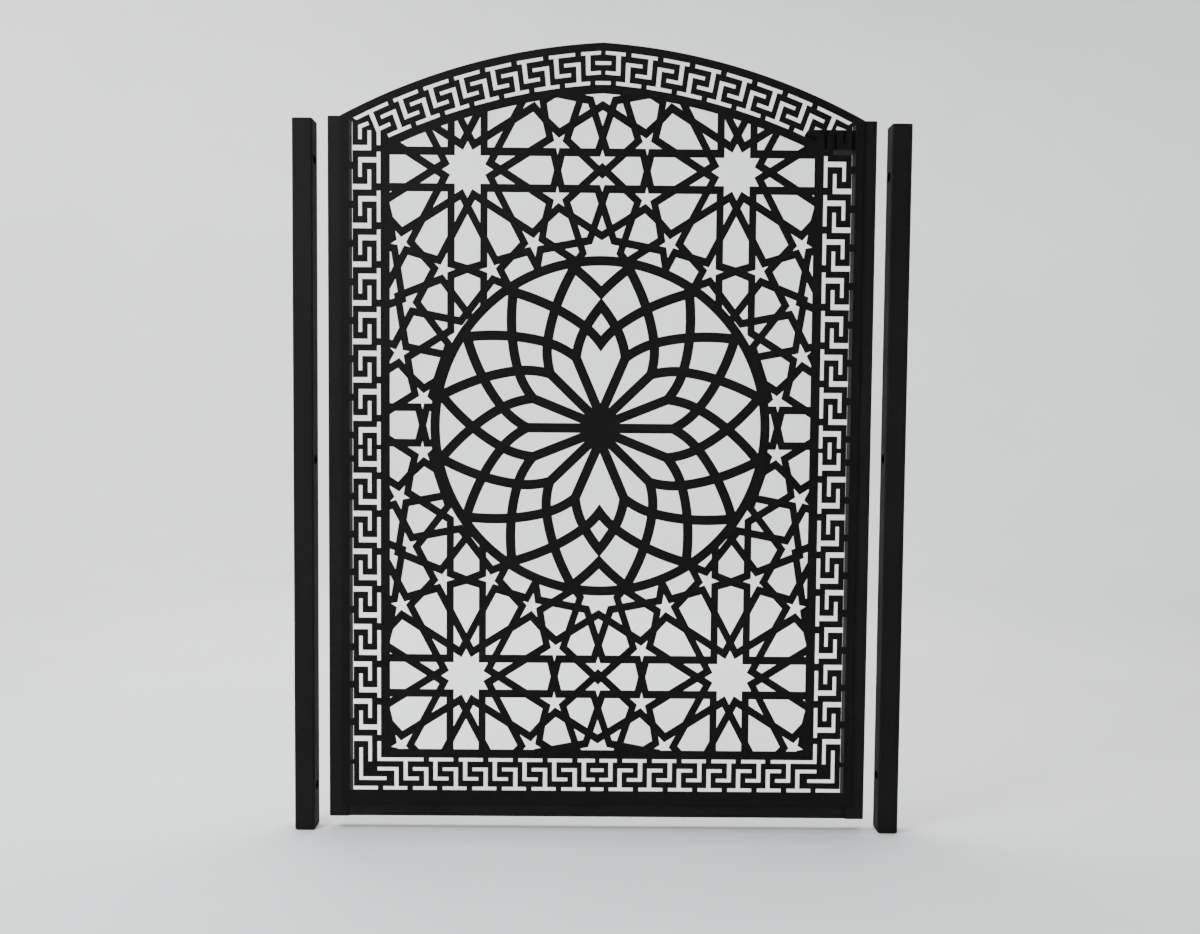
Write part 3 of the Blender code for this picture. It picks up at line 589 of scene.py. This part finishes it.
def top_corner_slots():
    """Slots that lead the side band into the arch at its right end."""
    inner, outer = column(0)
    bar = ARCH_BAND.along(FIRST_BAR, ARCH_KEYS)
    stem = ARCH_BAND.along(FIRST_STEM, ARCH_KEYS)
    hook = ARCH_BAND.along(FIRST_HOOK, ARCH_KEYS)
    near, bar_foot = ARCH_BAND.row(0)
    hook_head, far = ARCH_BAND.row(2)
    foot = SIDE_BAND_MIDDLE + SIDE_KEY_PITCH * (SIDE_KEYS + SECOND_STEM[1])
    tip = stem[1] + ARCH_TIP
    arch_end = ARCH_BAND.outline((
        (bar[0], bar_foot), (bar[0], near), (stem[1], near), (tip, near),
        (tip - ARCH_TIP_SLANT, bar_foot), (stem[1], bar_foot), (stem[1], far)))
    arch_end[-1] = Vector((outer, arch_end[-1].y))
    arch_end += [Vector((outer, foot)), Vector((inner, foot))]
    arch_end += ARCH_BAND.outline((
        (stem[0], far), (hook[0], far), (hook[0], hook_head),
        (stem[0], hook_head), (stem[0], bar_foot)))

    side_end = UPPER_SIDE_BAND.second_key(SIDE_KEYS)
    fourth_inner, fourth_outer = column(3)
    inner_head, outer_head = SLANTED_HEAD
    side_end[5:7] = [Vector((fourth_inner, inner_head)), Vector((fourth_outer, outer_head))]

    third_inner, third_outer = column(2)
    second_near, second_far = ARCH_BAND.row(1)
    bend_start = foot + SIDE_ROW_PITCH - SIDE_SLOT
    start = stem[1] + BEND_START
    inner_bend = ARCH_BAND.outline(((start, second_far), (stem[1] + BEND_INNER, second_far)))
    outer_bend = ARCH_BAND.outline(((stem[1] + BEND_OUTER, second_near), (start, second_near)))
    inner_bend[1].x, outer_bend[0].x = third_inner, third_outer
    bend = [Vector((third_inner, bend_start)), Vector((third_outer, bend_start))]
    bend += outer_bend + inner_bend
    return [arch_end, side_end, bend]


def right_key_slots():
    slots = bottom_corner_slots() + top_corner_slots()
    for key in range(BOTTOM_KEYS):
        slots += [BOTTOM_BAND.first_key(key), BOTTOM_BAND.second_key(key)]
    for key in range(SIDE_KEYS):
        slots += [LOWER_SIDE_BAND.second_key(key), UPPER_SIDE_BAND.second_key(key)]
    for key in range(SIDE_KEYS + 1):
        slots += [LOWER_SIDE_BAND.first_key(key), UPPER_SIDE_BAND.first_key(key)]
    for key in range(ARCH_KEYS):
        slots += [ARCH_BAND.first_key(key), ARCH_BAND.second_key(key)]
    return slots + UPPER_SIDE_BAND.middle_slots()


def key_slots():
    right = right_key_slots()
    left = [mirrored(slot) for slot in right]
    return right + left + BOTTOM_BAND.middle_slots() + ARCH_BAND.middle_slots()


# ---- star field --------------------------------------------------------------------------

def star_wedge():
    """Centre lines between the axes at 0 and 30 degrees of a twelve-petal rosette."""
    h = PETAL_HALF
    zero = Vector((0.0, 0.0))
    nine_centre = polar(LATTICE / math.sqrt(3), 30)
    nine_reach = LATTICE / math.sqrt(3) - TWELVE_REACH
    corner_back = h / math.sqrt(3)           # a nine-petal's side lines start this far out
    joint = polar(TWELVE_REACH, 30)          # tip shared by a twelve- and a nine-petal
    tip = polar(TWELVE_REACH, 0)
    nine_tip = polar(nine_reach, 250, nine_centre)

    flat_side = beside(zero, 0, h)           # side of the petal at 0 degrees
    slant_side = beside(zero, 30, -h)        # side of the petal at 30 degrees
    twelve_head = through(joint, tip)        # heads of the petals, as one straight line
    nine_head = through(joint, nine_tip)
    near_side = beside(nine_centre, 70, h)   # the two sides of the nine-petal at 250 degrees
    far_side = beside(nine_centre, 70, -h)

    knee = meet(beside(tip, 75), flat_side)
    slant_start = polar(corner_back, 210, nine_centre) + polar(h, -60)
    near_start = polar(corner_back, 250, nine_centre) + polar(h, 160)
    far_start = polar(corner_back, 250, nine_centre) + polar(h, -20)
    gap_line = (Vector((LATTICE / 2, 0.0)), Vector((0.0, 1.0)))
    return [
        (Vector((h, h)), meet(flat_side, twelve_head)),
        (polar(math.sqrt(2) * h, -15), meet(slant_side, twelve_head)),
        (joint, meet(twelve_head, slant_side)),
        (meet(twelve_head, flat_side), tip),
        (meet(slant_side, nine_head), slant_start),
        (joint, meet(nine_head, slant_side)),
        (meet(nine_head, near_side), meet(nine_head, gap_line)),
        (near_start, meet(near_side, nine_head)),
        (tip, knee),
        (knee, meet(flat_side, far_side)),
        (far_start, meet(far_side, flat_side)),
    ]


def star_bars(half_width, lowest, highest):
    """Bars of the whole star pattern about a twelve-petal rosette at the origin."""
    wedge = star_wedge()
    wedge += [(Vector((p.x, -p.y)), Vector((q.x, -q.y))) for p, q in wedge]
    row_pitch = LATTICE * math.sqrt(3) / 2
    bars = []
    for row in range(-2, 3):
        for place in (-1.5, -1, -0.5, 0, 0.5, 1, 1.5):
            if (2 * place + row) % 2:
                continue
            centre = Vector((place * LATTICE, row * row_pitch))
            for turn in range(0, 360, 60):
                angle = math.radians(turn)
                for ends in wedge:
                    p, q = [centre + turned(end, angle) for end in ends]
                    in_width = min(abs(p.x), abs(q.x)) < half_width
                    in_height = max(p.y, q.y) > lowest and min(p.y, q.y) < highest
                    if in_width and in_height:
                        bars.append((p, q, STAR_BAR / 2))
    return bars


def turned(point, angle):
    cos, sin = math.cos(angle), math.sin(angle)
    return Vector((point.x * cos - point.y * sin, point.x * sin + point.y * cos))


def field_edges():
    """Edges of the star field: its straight sides, its arches and the ring in its middle."""
    arch = ARCH_RADIUS - FIELD_ARCH_INSET
    return [
        StraightEdge((0, FIELD_BOTTOM), 0),
        StraightEdge((FIELD_HALF_WIDTH, 0), 90),
        StraightEdge((-FIELD_HALF_WIDTH, 0), -90),
        RoundEdge((-ARCH_SHIFT, ARCH_CENTRE_Z), arch, 1),
        RoundEdge((ARCH_SHIFT, ARCH_CENTRE_Z), arch, 1),
        RoundEdge((0, RING_CENTRE_Z), RING_OUTER, -1),
    ]


def cut_to(loops, edges):
    for edge in edges:
        loops = [part for loop in loops for part in clipped(loop, edge)]
    loops = [tidied(loop) for loop in loops if abs(signed_area(loop)) > SMALLEST_HOLE]
    return [loop for loop in loops if len(loop) > 2]


def star_holes():
    margin = 0.150
    lowest = (FIELD_BOTTOM - FIELD_MIDDLE_Z) / STRETCH - margin
    highest = (ARCH_CENTRE_Z + ARCH_RADIUS - FIELD_ARCH_INSET - FIELD_MIDDLE_Z) / STRETCH + margin
    holes = []
    for face in faces_of(star_bars(FIELD_HALF_WIDTH + margin, lowest, highest)):
        hole = hole_in(face)
        if hole:
            holes.append([Vector((p.x, FIELD_MIDDLE_Z + p.y * STRETCH)) for p in hole])
    return cut_to(holes, field_edges())


# ---- middle rosette ----------------------------------------------------------------------

def arm_radius(part):
    """Radius of an arm, so many half petals in: a log spiral that bends in at its end."""
    last_half = max(part - ARM_HALF_TURNS + 1, 0.0)
    return ARM_NODE_RADIUS * ARM_SHRINK ** part * math.exp(-ARM_BEND * last_half ** 2)


def arm(start_degrees, turn):
    """Centre line of an arm, from outside the ring in to its spoke."""
    half_petal = 180.0 / ROSETTE_FOLD
    points = []
    for step in range(-ARM_STEPS, ARM_HALF_TURNS * ARM_STEPS + 1):
        part = step / ARM_STEPS
        points.append(polar(arm_radius(part), start_degrees + turn * half_petal * part))
    return points


def right_rosette_bars():
    """Bars of the rosette's right half: a rosette about its own centre, cut off and shifted."""
    half_petal = 180.0 / ROSETTE_FOLD
    lines = []
    for petal in range(ROSETTE_FOLD):
        for turn in (-1, 1):
            points = arm(half_petal * (2 * petal + 1), turn)
            lines += list(zip(points, points[1:]))
        upright = petal in (ROSETTE_FOLD // 4, ROSETTE_FOLD * 3 // 4)
        if not upright:
            spoke_end = polar(arm_radius(ARM_HALF_TURNS), 2 * half_petal * petal)
            lines.append((Vector((0.0, 0.0)), spoke_end))
    outer = ARM_NODE_RADIUS * RIM_REACH
    rim = [polar(outer, half_petal * step) for step in range(2 * ROSETTE_FOLD)]
    lines += list(sides(rim))

    axis = Vector((ROSETTE_LEAN, 0.0)), Vector((0.0, 1.0))
    shift = Vector((-ROSETTE_LEAN, 0.0))
    bars = []
    for ends in lines:
        widened = [Vector((end.x * ROSETTE_WIDEN, end.y)) for end in ends]
        p, q = sorted(widened, key=lambda end: end.x)
        if q.x < ROSETTE_LEAN + TINY:
            continue
        if p.x < ROSETTE_LEAN:
            p = meet(axis, through(p, q))
        bars.append((p + shift, q + shift, ARM_BAR / 2))
    return bars


def rosette_holes():
    """Both halves' openings; links without width part the halves where their bars overlap."""
    right = right_rosette_bars()
    left = [(Vector((-p.x, p.y)), Vector((-q.x, q.y)), half) for p, q, half in right]
    ends = [end for p, q, half in right for end in (p, q)]
    heights = sorted({round(end.y, 6) for end in ends if abs(end.x) < TINY})
    bars = right + left
    for low, high in zip(heights, heights[1:]):
        if high - low < 2 * ARM_BAR:
            bars.append((Vector((0.0, low)), Vector((0.0, high)), 0.0))
    holes = []
    for face in faces_of(bars):
        hole = hole_in(face)
        if hole:
            holes.append([Vector((p.x, ROSETTE_CENTRE_Z + p.y)) for p in hole])
    return cut_to(holes, [RoundEdge((0, RING_CENTRE_Z), RING_INNER, 1)])


# ---- solids ------------------------------------------------------------------------------

def sheet_outline():
    edge = RoundEdge((-ARCH_SHIFT, ARCH_CENTRE_Z), ARCH_RADIUS, 1)
    spring = Vector((SHEET_HALF_WIDTH, ARCH_CENTRE_Z))
    spring.y += math.sqrt(ARCH_RADIUS ** 2 - (SHEET_HALF_WIDTH + ARCH_SHIFT) ** 2)
    crown = Vector((0.0, ARCH_CENTRE_Z + math.sqrt(ARCH_RADIUS ** 2 - ARCH_SHIFT ** 2)))
    right = [Vector((SHEET_HALF_WIDTH, SHEET_BOTTOM)), spring] + edge.between(spring, crown)
    return right + [crown] + mirrored(right)


def grown(loop, distance):
    """The anticlockwise loop, its sides moved outward; inward if the distance is negative."""
    moved = []
    for k, p in enumerate(loop):
        before = through(loop[k - 1], p)
        after = through(p, loop[(k + 1) % len(loop)])
        reach = Vector((after[1].y, -after[1].x)) * distance
        if abs(cross(before[1], after[1])) > STRAIGHT / 4:
            side = Vector((before[1].y, -before[1].x)) * distance
            reach = meet((before[0] + side, before[1]), (after[0] + reach, after[1])) - p
        moved.append(p + reach * min(LONGEST_MITRE / reach.length, 1.0))
    return moved


def metal_triangles(loops):
    """Triangles between an outline and its holes, as numbers into the loops' points."""
    points, edges = [], []
    for loop in loops:
        first = len(points)
        points += loop
        edges += [(first + k, first + (k + 1) % len(loop)) for k in range(len(loop))]
    cut = delaunay_2d_cdt(points, edges, [], 0, TINY / 10)
    joints, triangles, origins, sources = cut[1:5]
    walls = {frozenset(joint) for joint, source in zip(joints, sources) if source}
    beside_joint = {}
    for number, triangle in enumerate(triangles):
        for a, b in sides(list(triangle)):
            beside_joint.setdefault(frozenset((a, b)), []).append(number)
    metal = {}
    for joint, numbers in beside_joint.items():
        if len(numbers) == 1:
            metal[numbers[0]] = joint in walls
    queue = list(metal)
    while queue:
        number = queue.pop()
        for a, b in sides(list(triangles[number])):
            joint = frozenset((a, b))
            for other in beside_joint[joint]:
                if other not in metal:
                    metal[other] = metal[number] != (joint in walls)
                    queue.append(other)
    return [[origins[corner][0] for corner in triangle]
            for number, triangle in enumerate(triangles) if metal[number]]


def in_place(x, y, z):
    """A point of the leaf's frame as a point of the model's frame."""
    return x + LEAF_MIDDLE, y + SHEET_BACK, z + LEAF_BOTTOM


def cut_sheet(name, outline, holes):
    """The sheet, its edges rounded off a little all round and in every opening."""
    loops = [loop if signed_area(loop) > 0 else loop[::-1] for loop in [outline] + holes]
    opened = [grown(loop, SHEET_EDGE if k else -SHEET_EDGE) for k, loop in enumerate(loops)]
    mesh = bmesh.new()
    levels = (
        (opened, -SHEET_THICKNESS), (loops, SHEET_EDGE - SHEET_THICKNESS),
        (loops, -SHEET_EDGE), (opened, 0.0))
    rings = []
    for level_loops, y in levels:
        rings.append([[mesh.verts.new(in_place(p.x, y, p.y)) for p in loop] for loop in level_loops])
    for front, back in zip(rings, rings[1:]):
        for front_loop, back_loop in zip(front, back):
            for (a, b), (c, d) in zip(sides(front_loop), sides(back_loop)):
                mesh.faces.new((a, b, d, c))
    front_verts = [vert for loop in rings[0] for vert in loop]
    back_verts = [vert for loop in rings[-1] for vert in loop]
    for a, b, c in metal_triangles(opened):
        mesh.faces.new((front_verts[a], front_verts[b], front_verts[c]))
        mesh.faces.new((back_verts[a], back_verts[c], back_verts[b]))
    bmesh.ops.recalc_face_normals(mesh, faces=mesh.faces[:])
    return add_object(name, mesh)


def add_object(name, mesh, smooth_degrees=None):
    data = bpy.data.meshes.new(name)
    mesh.to_mesh(data)
    mesh.free()
    item = bpy.data.objects.new(name, data)
    bpy.context.scene.collection.objects.link(item)
    if smooth_degrees:
        smoothed(item, smooth_degrees)
    return item


def smoothed(item, degrees):
    """Smooth shading that stops at sharp edges and leaves the flat faces looking flat."""
    item.data.polygons.foreach_set("use_smooth", [True] * len(item.data.polygons))
    item.data.set_sharp_from_angle(angle=math.radians(degrees))
    weighted = item.modifiers.new("flat_faces", "WEIGHTED_NORMAL")
    weighted.keep_sharp = True


def square_profile(half, corner):
    """Rounded square, anticlockwise."""
    profile = []
    for quarter in range(4):
        centre = polar(math.sqrt(2) * (half - corner), 45 + 90 * quarter)
        for step in range(CORNER_STEPS + 1):
            profile.append(polar(corner, 90 * quarter + 90 * step / CORNER_STEPS, centre))
    return profile


def loft(mesh, rings):
    for first, second in zip(rings, rings[1:]):
        for (a, b), (c, d) in zip(sides(first), sides(second)):
            mesh.faces.new((a, b, d, c))


def tube_mesh(length):
    """Hollow square tube along +Z, its middle at the origin, open at both ends."""
    mesh = bmesh.new()
    rings = []
    inner = square_profile(BOX_SIZE / 2 - BOX_WALL, BOX_CORNER - BOX_WALL)
    outer = square_profile(BOX_SIZE / 2, BOX_CORNER)
    end = length / 2
    for profile, z in ((inner, -end), (outer, -end), (outer, end), (inner, end)):
        rings.append([mesh.verts.new((p.x, p.y, z)) for p in profile])
    loft(mesh, rings + rings[:1])
    bmesh.ops.recalc_face_normals(mesh, faces=mesh.faces[:])
    return mesh


def tube_over(node, along):
    """A finely rounded tube in the place of a CAD one that runs along an axis (0 = X, 2 = Z)."""
    low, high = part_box(node)
    mesh = tube_mesh(high[along] - low[along])
    if along == 0:
        bmesh.ops.rotate(mesh, verts=mesh.verts, matrix=Matrix.Rotation(math.pi / 2, 3, "Y"))
    middle = (Vector(low) + Vector(high)) / 2
    bmesh.ops.translate(mesh, verts=mesh.verts, vec=middle)
    return add_object(node + "_tube", mesh, TUBE_SMOOTH)


def cap_over(node, edge=CAP_EDGE, outward=1):
    """A plate in the place of a CAD cap, its outer face (outward: 1 up, -1 down) rounded off."""
    low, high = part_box(node)
    mesh = bmesh.new()
    rings = []
    middle = (Vector(low) + Vector(high)) / 2
    reach = (high[2] - low[2]) / 2
    rims = [(0.0, -reach)]
    for step in range(CAP_STEPS + 1):
        turn = polar(edge, 90 * step / CAP_STEPS)
        rims.append((edge - turn.x, reach - edge + turn.y))
    for shrink, out in rims:
        profile = square_profile(BOX_SIZE / 2 - shrink, BOX_CORNER)
        z = middle.z + out * outward
        rings.append([mesh.verts.new((middle.x + p.x, middle.y + p.y, z)) for p in profile])
    loft(mesh, rings)
    mesh.faces.new(reversed(rings[0]))
    mesh.faces.new(rings[-1])
    bmesh.ops.recalc_face_normals(mesh, faces=mesh.faces[:])
    return add_object(node + "_plate", mesh, CAP_SMOOTH)


def drilled(item, holes):
    """Cuts round holes along X, each given as (diameter, x, y, z)."""
    cutters = []
    for diameter, x, y, z in holes:
        mesh = bmesh.new()
        bmesh.ops.create_cone(mesh, cap_ends=True, segments=HOLE_STEPS, radius1=diameter / 2,
                              radius2=diameter / 2, depth=DRILL_LENGTH)
        bmesh.ops.rotate(mesh, verts=mesh.verts, matrix=Matrix.Rotation(math.pi / 2, 3, "Y"))
        bmesh.ops.translate(mesh, verts=mesh.verts, vec=(x, y, z))
        cutter = add_object("drill", mesh)
        cut = item.modifiers.new("hole", "BOOLEAN")
        cut.solver = "EXACT"
        cut.object = cutter
        cutters.append(cutter)
    finished_item = item.evaluated_get(bpy.context.evaluated_depsgraph_get())
    finished = bpy.data.meshes.new_from_object(finished_item)
    item.modifiers.clear()
    item.data = finished
    for cutter in cutters:
        bpy.data.objects.remove(cutter, do_unlink=True)
    smoothed(item, TUBE_SMOOTH)


def build_jamb(node, inward, heights):
    low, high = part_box(node)
    middle = (Vector(low) + Vector(high)) / 2
    leaf_face, wall_face = (high[0], low[0]) if inward > 0 else (low[0], high[0])
    jamb = tube_over(node, 2)
    holes = []
    for height in heights:
        holes.append((ACCESS_HOLE_DIAMETER, leaf_face, middle.y, LEAF_BOTTOM + height))
        holes.append((SCREW_HOLE_DIAMETER, wall_face, middle.y, LEAF_BOTTOM + height))
    drilled(jamb, holes)
    return jamb


# ---- shader arithmetic -------------------------------------------------------------------

class Wire:
    """What comes out of a shader node; arithmetic on it adds Math nodes."""

    def __init__(self, finish, socket):
        self.finish = finish
        self.socket = socket

    def maths(self, operation, first, second):
        return self.finish.node("ShaderNodeMath", {"operation": operation}, {0: first, 1: second})

    def __add__(self, other):
        return self.maths("ADD", self, other)

    __radd__ = __add__

    def __mul__(self, other):
        return self.maths("MULTIPLY", self, other)

    __rmul__ = __mul__

    def ramp(self, low, high, out_low=0.0, out_high=1.0):
        """Straight ramp from one range to another, held at its ends."""
        inputs = {0: self, 1: low, 2: high, 3: out_low, 4: out_high}
        return self.finish.node("ShaderNodeMapRange", {}, inputs)


class Finish:
    """A new material, whose nodes are added one at a time."""

    def __init__(self, name):
        self.material = bpy.data.materials.new(name)
        self.material.use_nodes = True
        self.tree = self.material.node_tree
        self.surface = self.tree.nodes["Principled BSDF"]

    def fill(self, socket, given):
        if isinstance(given, Wire):
            self.tree.links.new(given.socket, socket)
        else:
            socket.default_value = given

    def node(self, kind, settings, inputs, output=0):
        """Adds a node: its settings, then a number, a colour or a wire for each socket given."""
        node = self.tree.nodes.new(kind)
        for name, setting in settings.items():
            setattr(node, name, setting)
        for key, given in inputs.items():
            self.fill(node.inputs[key], given)
        return Wire(self, node.outputs[output])

    def noise(self, where, scale, detail=2.0, roughness=0.5):
        inputs = {"Vector": where, "Scale": scale, "Detail": detail, "Roughness": roughness}
        return self.node("ShaderNodeTexNoise", {}, inputs)

    def blend(self, part, first, second):
        """Colour between two colours."""
        colours = {0: part, 6: first, 7: second}
        return self.node("ShaderNodeMix", {"data_type": "RGBA"}, colours, 2)

    def wear(self, **sockets):
        """Sets sockets of the surface, named with underscores for blanks."""
        for name, given in sockets.items():
            self.fill(self.surface.inputs[name.replace("_", " ")], given)
        return self.material


def powder_coat(name, colour, roughness, dust):
    """Black powder coat: fine orange peel, slow changes of tone and sheen, dust on top faces."""
    coat = Finish(name)
    where = coat.node("ShaderNodeTexCoord", {}, {}, "Object")
    broad = coat.noise(where, BROAD_SCALE, 3.0)
    cloud = coat.noise(where, CLOUD_SCALE, 4.0, 0.6)
    fleck = coat.noise(where, FLECK_SCALE, 1.0)
    fine_peel = coat.noise(where, PEEL_SCALE) * PEEL_SHARE
    peel = fine_peel + coat.noise(where, COARSE_PEEL_SCALE) * (1.0 - PEEL_SHARE)

    facing = coat.node("ShaderNodeNewGeometry", {}, {}, "Normal")
    upward = coat.node("ShaderNodeSeparateXYZ", {}, {0: facing}, 2)
    settled = upward.ramp(0.35, 0.95) * dust
    dusty = (settled + fleck.ramp(0.74, 0.80) * FLECK_SHARE) * cloud.ramp(0.3, 0.7, 0.4, 1.0)

    paler = tuple(channel * PALER for channel in colour[:3]) + (1.0,)
    tone = coat.blend(broad.ramp(0.3, 0.7), colour, paler)
    tone = coat.blend(dusty, tone, DUST)
    relief = {"Strength": PEEL_STRENGTH, "Distance": PEEL_HEIGHT, "Height": peel}
    bump = coat.node("ShaderNodeBump", {}, relief)
    return coat.wear(
        Base_Color=tone,
        Roughness=cloud.ramp(0.25, 0.75, roughness - 0.05, roughness + 0.06) + dusty * 0.4,
        Normal=bump,
        Specular_IOR_Level=COAT_SPECULAR)


def studio_paint(name):
    paint = Finish(name)
    where = paint.node("ShaderNodeTexCoord", {}, {}, "Object")
    mottle = paint.noise(where, 1.4, 4.0).ramp(0.3, 0.7)
    tone = paint.blend(mottle, STUDIO_PALE, STUDIO_PALEST)
    return paint.wear(Base_Color=tone, Roughness=0.75)


# ---- building ----------------------------------------------------------------------------

def dress(item, node, material):
    """Puts a piece on the model in the place of a CAD node."""
    item.data.materials.clear()
    item.data.materials.append(material)
    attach(item, "root")
    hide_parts(node)


def build_gate():
    sheet_coat = powder_coat("sheet_coat", SHEET_BLACK, 0.74, 0.25)
    frame_coat = powder_coat("frame_coat", FRAME_BLACK, 0.74, 0.30)
    jamb_coat = powder_coat("jamb_coat", JAMB_BLACK, 0.74, 0.35)
    # corner block: black paint made extra dark and nearly dustless, as painted shade for the deep
    # shadow behind the sheet
    block_coat_painted_shade = powder_coat("block_coat_painted_shade", BLOCK_BLACK_PAINTED_SHADE, 0.75, 0.05)

    sheet = cut_sheet("cut_sheet", sheet_outline(), key_slots() + star_holes() + rosette_holes())
    dress(sheet, "lattice_panel", sheet_coat)
    for node, along in (("left_stile", 2), ("right_stile", 2), ("bottom_rail", 0)):
        dress(tube_over(node, along), node, frame_coat)
    dress(tube_over("corner_block", 0), "corner_block", block_coat_painted_shade)
    for node in ("left_stile_cap", "right_stile_cap"):
        dress(cap_over(node), node, frame_coat)
    jambs = (("left_jamb", 1, LEFT_FIXINGS), ("right_jamb", -1, RIGHT_FIXINGS))
    for node, inward, heights in jambs:
        dress(build_jamb(node, inward, heights), node, jamb_coat)
        head, foot = node + "_head_cap", node + "_foot_cap"
        dress(cap_over(head), head, jamb_coat)
        dress(cap_over(foot, FOOT_CAP_EDGE, -1), foot, jamb_coat)


# ---- studio ------------------------------------------------------------------------------

def build_stage():
    """A round pale floor that sweeps up into a wall, far enough out for every side to be seen."""
    bend_centre = (STUDIO_RADIUS - SWEEP_RADIUS, SWEEP_RADIUS)
    profile = [(0.0, 0.0)]
    for step in range(SWEEP_STEPS + 1):
        bend = polar(SWEEP_RADIUS, -90 + 90 * step / SWEEP_STEPS, bend_centre)
        profile.append((bend.x, bend.y))
    profile.append((STUDIO_RADIUS, STUDIO_HEIGHT))
    mesh = bmesh.new()
    verts = [mesh.verts.new((radius, 0.0, height)) for radius, height in profile]
    edges = [mesh.edges.new(ends) for ends in zip(verts, verts[1:])]
    bmesh.ops.spin(mesh, geom=verts + edges, axis=(0.0, 0.0, 1.0), cent=(0.0, 0.0, 0.0),
                   angle=math.tau, steps=STUDIO_SIDES)
    bmesh.ops.remove_doubles(mesh, verts=mesh.verts, dist=SAME_PLACE)
    bmesh.ops.recalc_face_normals(mesh, faces=mesh.faces[:])
    bmesh.ops.translate(mesh, verts=mesh.verts, vec=(LEAF_MIDDLE, 0.0, FLOOR))
    sweep = add_object("studio_sweep", mesh, SWEEP_SMOOTH)
    sweep.data.materials.append(studio_paint("studio_paint"))


def add_area_light(name, place, aim, size, watts, colour=WHITE):
    """A rectangular light, its place and its aim given across from the leaf's middle."""
    location = Vector((LEAF_MIDDLE + place[0], place[1], place[2]))
    target = Vector((LEAF_MIDDLE + aim[0], aim[1], aim[2]))
    light = bpy.data.lights.new(name, "AREA")
    light.shape = "RECTANGLE"
    light.size, light.size_y = size
    light.energy = watts
    light.color = colour
    item = bpy.data.objects.new(name, light)
    item.location = location
    item.rotation_euler = (target - location).to_track_quat("-Z", "Y").to_euler()
    bpy.context.scene.collection.objects.link(item)


def build_light():
    world = bpy.data.worlds.new("studio")
    world.use_nodes = True
    background = world.node_tree.nodes["Background"]
    background.inputs["Color"].default_value = WORLD_WARM
    background.inputs["Strength"].default_value = WORLD_STRENGTH
    bpy.context.scene.world = world
    add_area_light("key", KEY_PLACE, KEY_AIM, KEY_SIZE, KEY_WATTS, KEY_COOL)
    add_area_light("over", OVER_PLACE, OVER_AIM, OVER_SIZE, OVER_WATTS)
    add_area_light("backdrop_wash", WASH_PLACE, WASH_AIM, WASH_SIZE, WASH_WATTS)


def build_camera():
    camera = bpy.data.cameras.new("camera")
    camera.sensor_width = 36.0
    camera.lens = CAMERA_LENS
    camera.clip_end = 60.0
    item = bpy.data.objects.new("camera", camera)
    across, back, up = CAMERA_PLACE
    place = Matrix.Translation((LEAF_MIDDLE + across, LEAF_FRONT - back, LEAF_BOTTOM + up))
    yaw = Matrix.Rotation(math.radians(CAMERA_YAW), 4, "Z")
    pitch = Matrix.Rotation(math.radians(90.0 + CAMERA_PITCH), 4, "X")
    roll = Matrix.Rotation(math.radians(CAMERA_ROLL), 4, "Z")
    item.matrix_world = place @ yaw @ pitch @ roll
    bpy.context.scene.collection.objects.link(item)
    bpy.context.scene.camera = item


build_gate()
build_stage()
build_light()
build_camera()
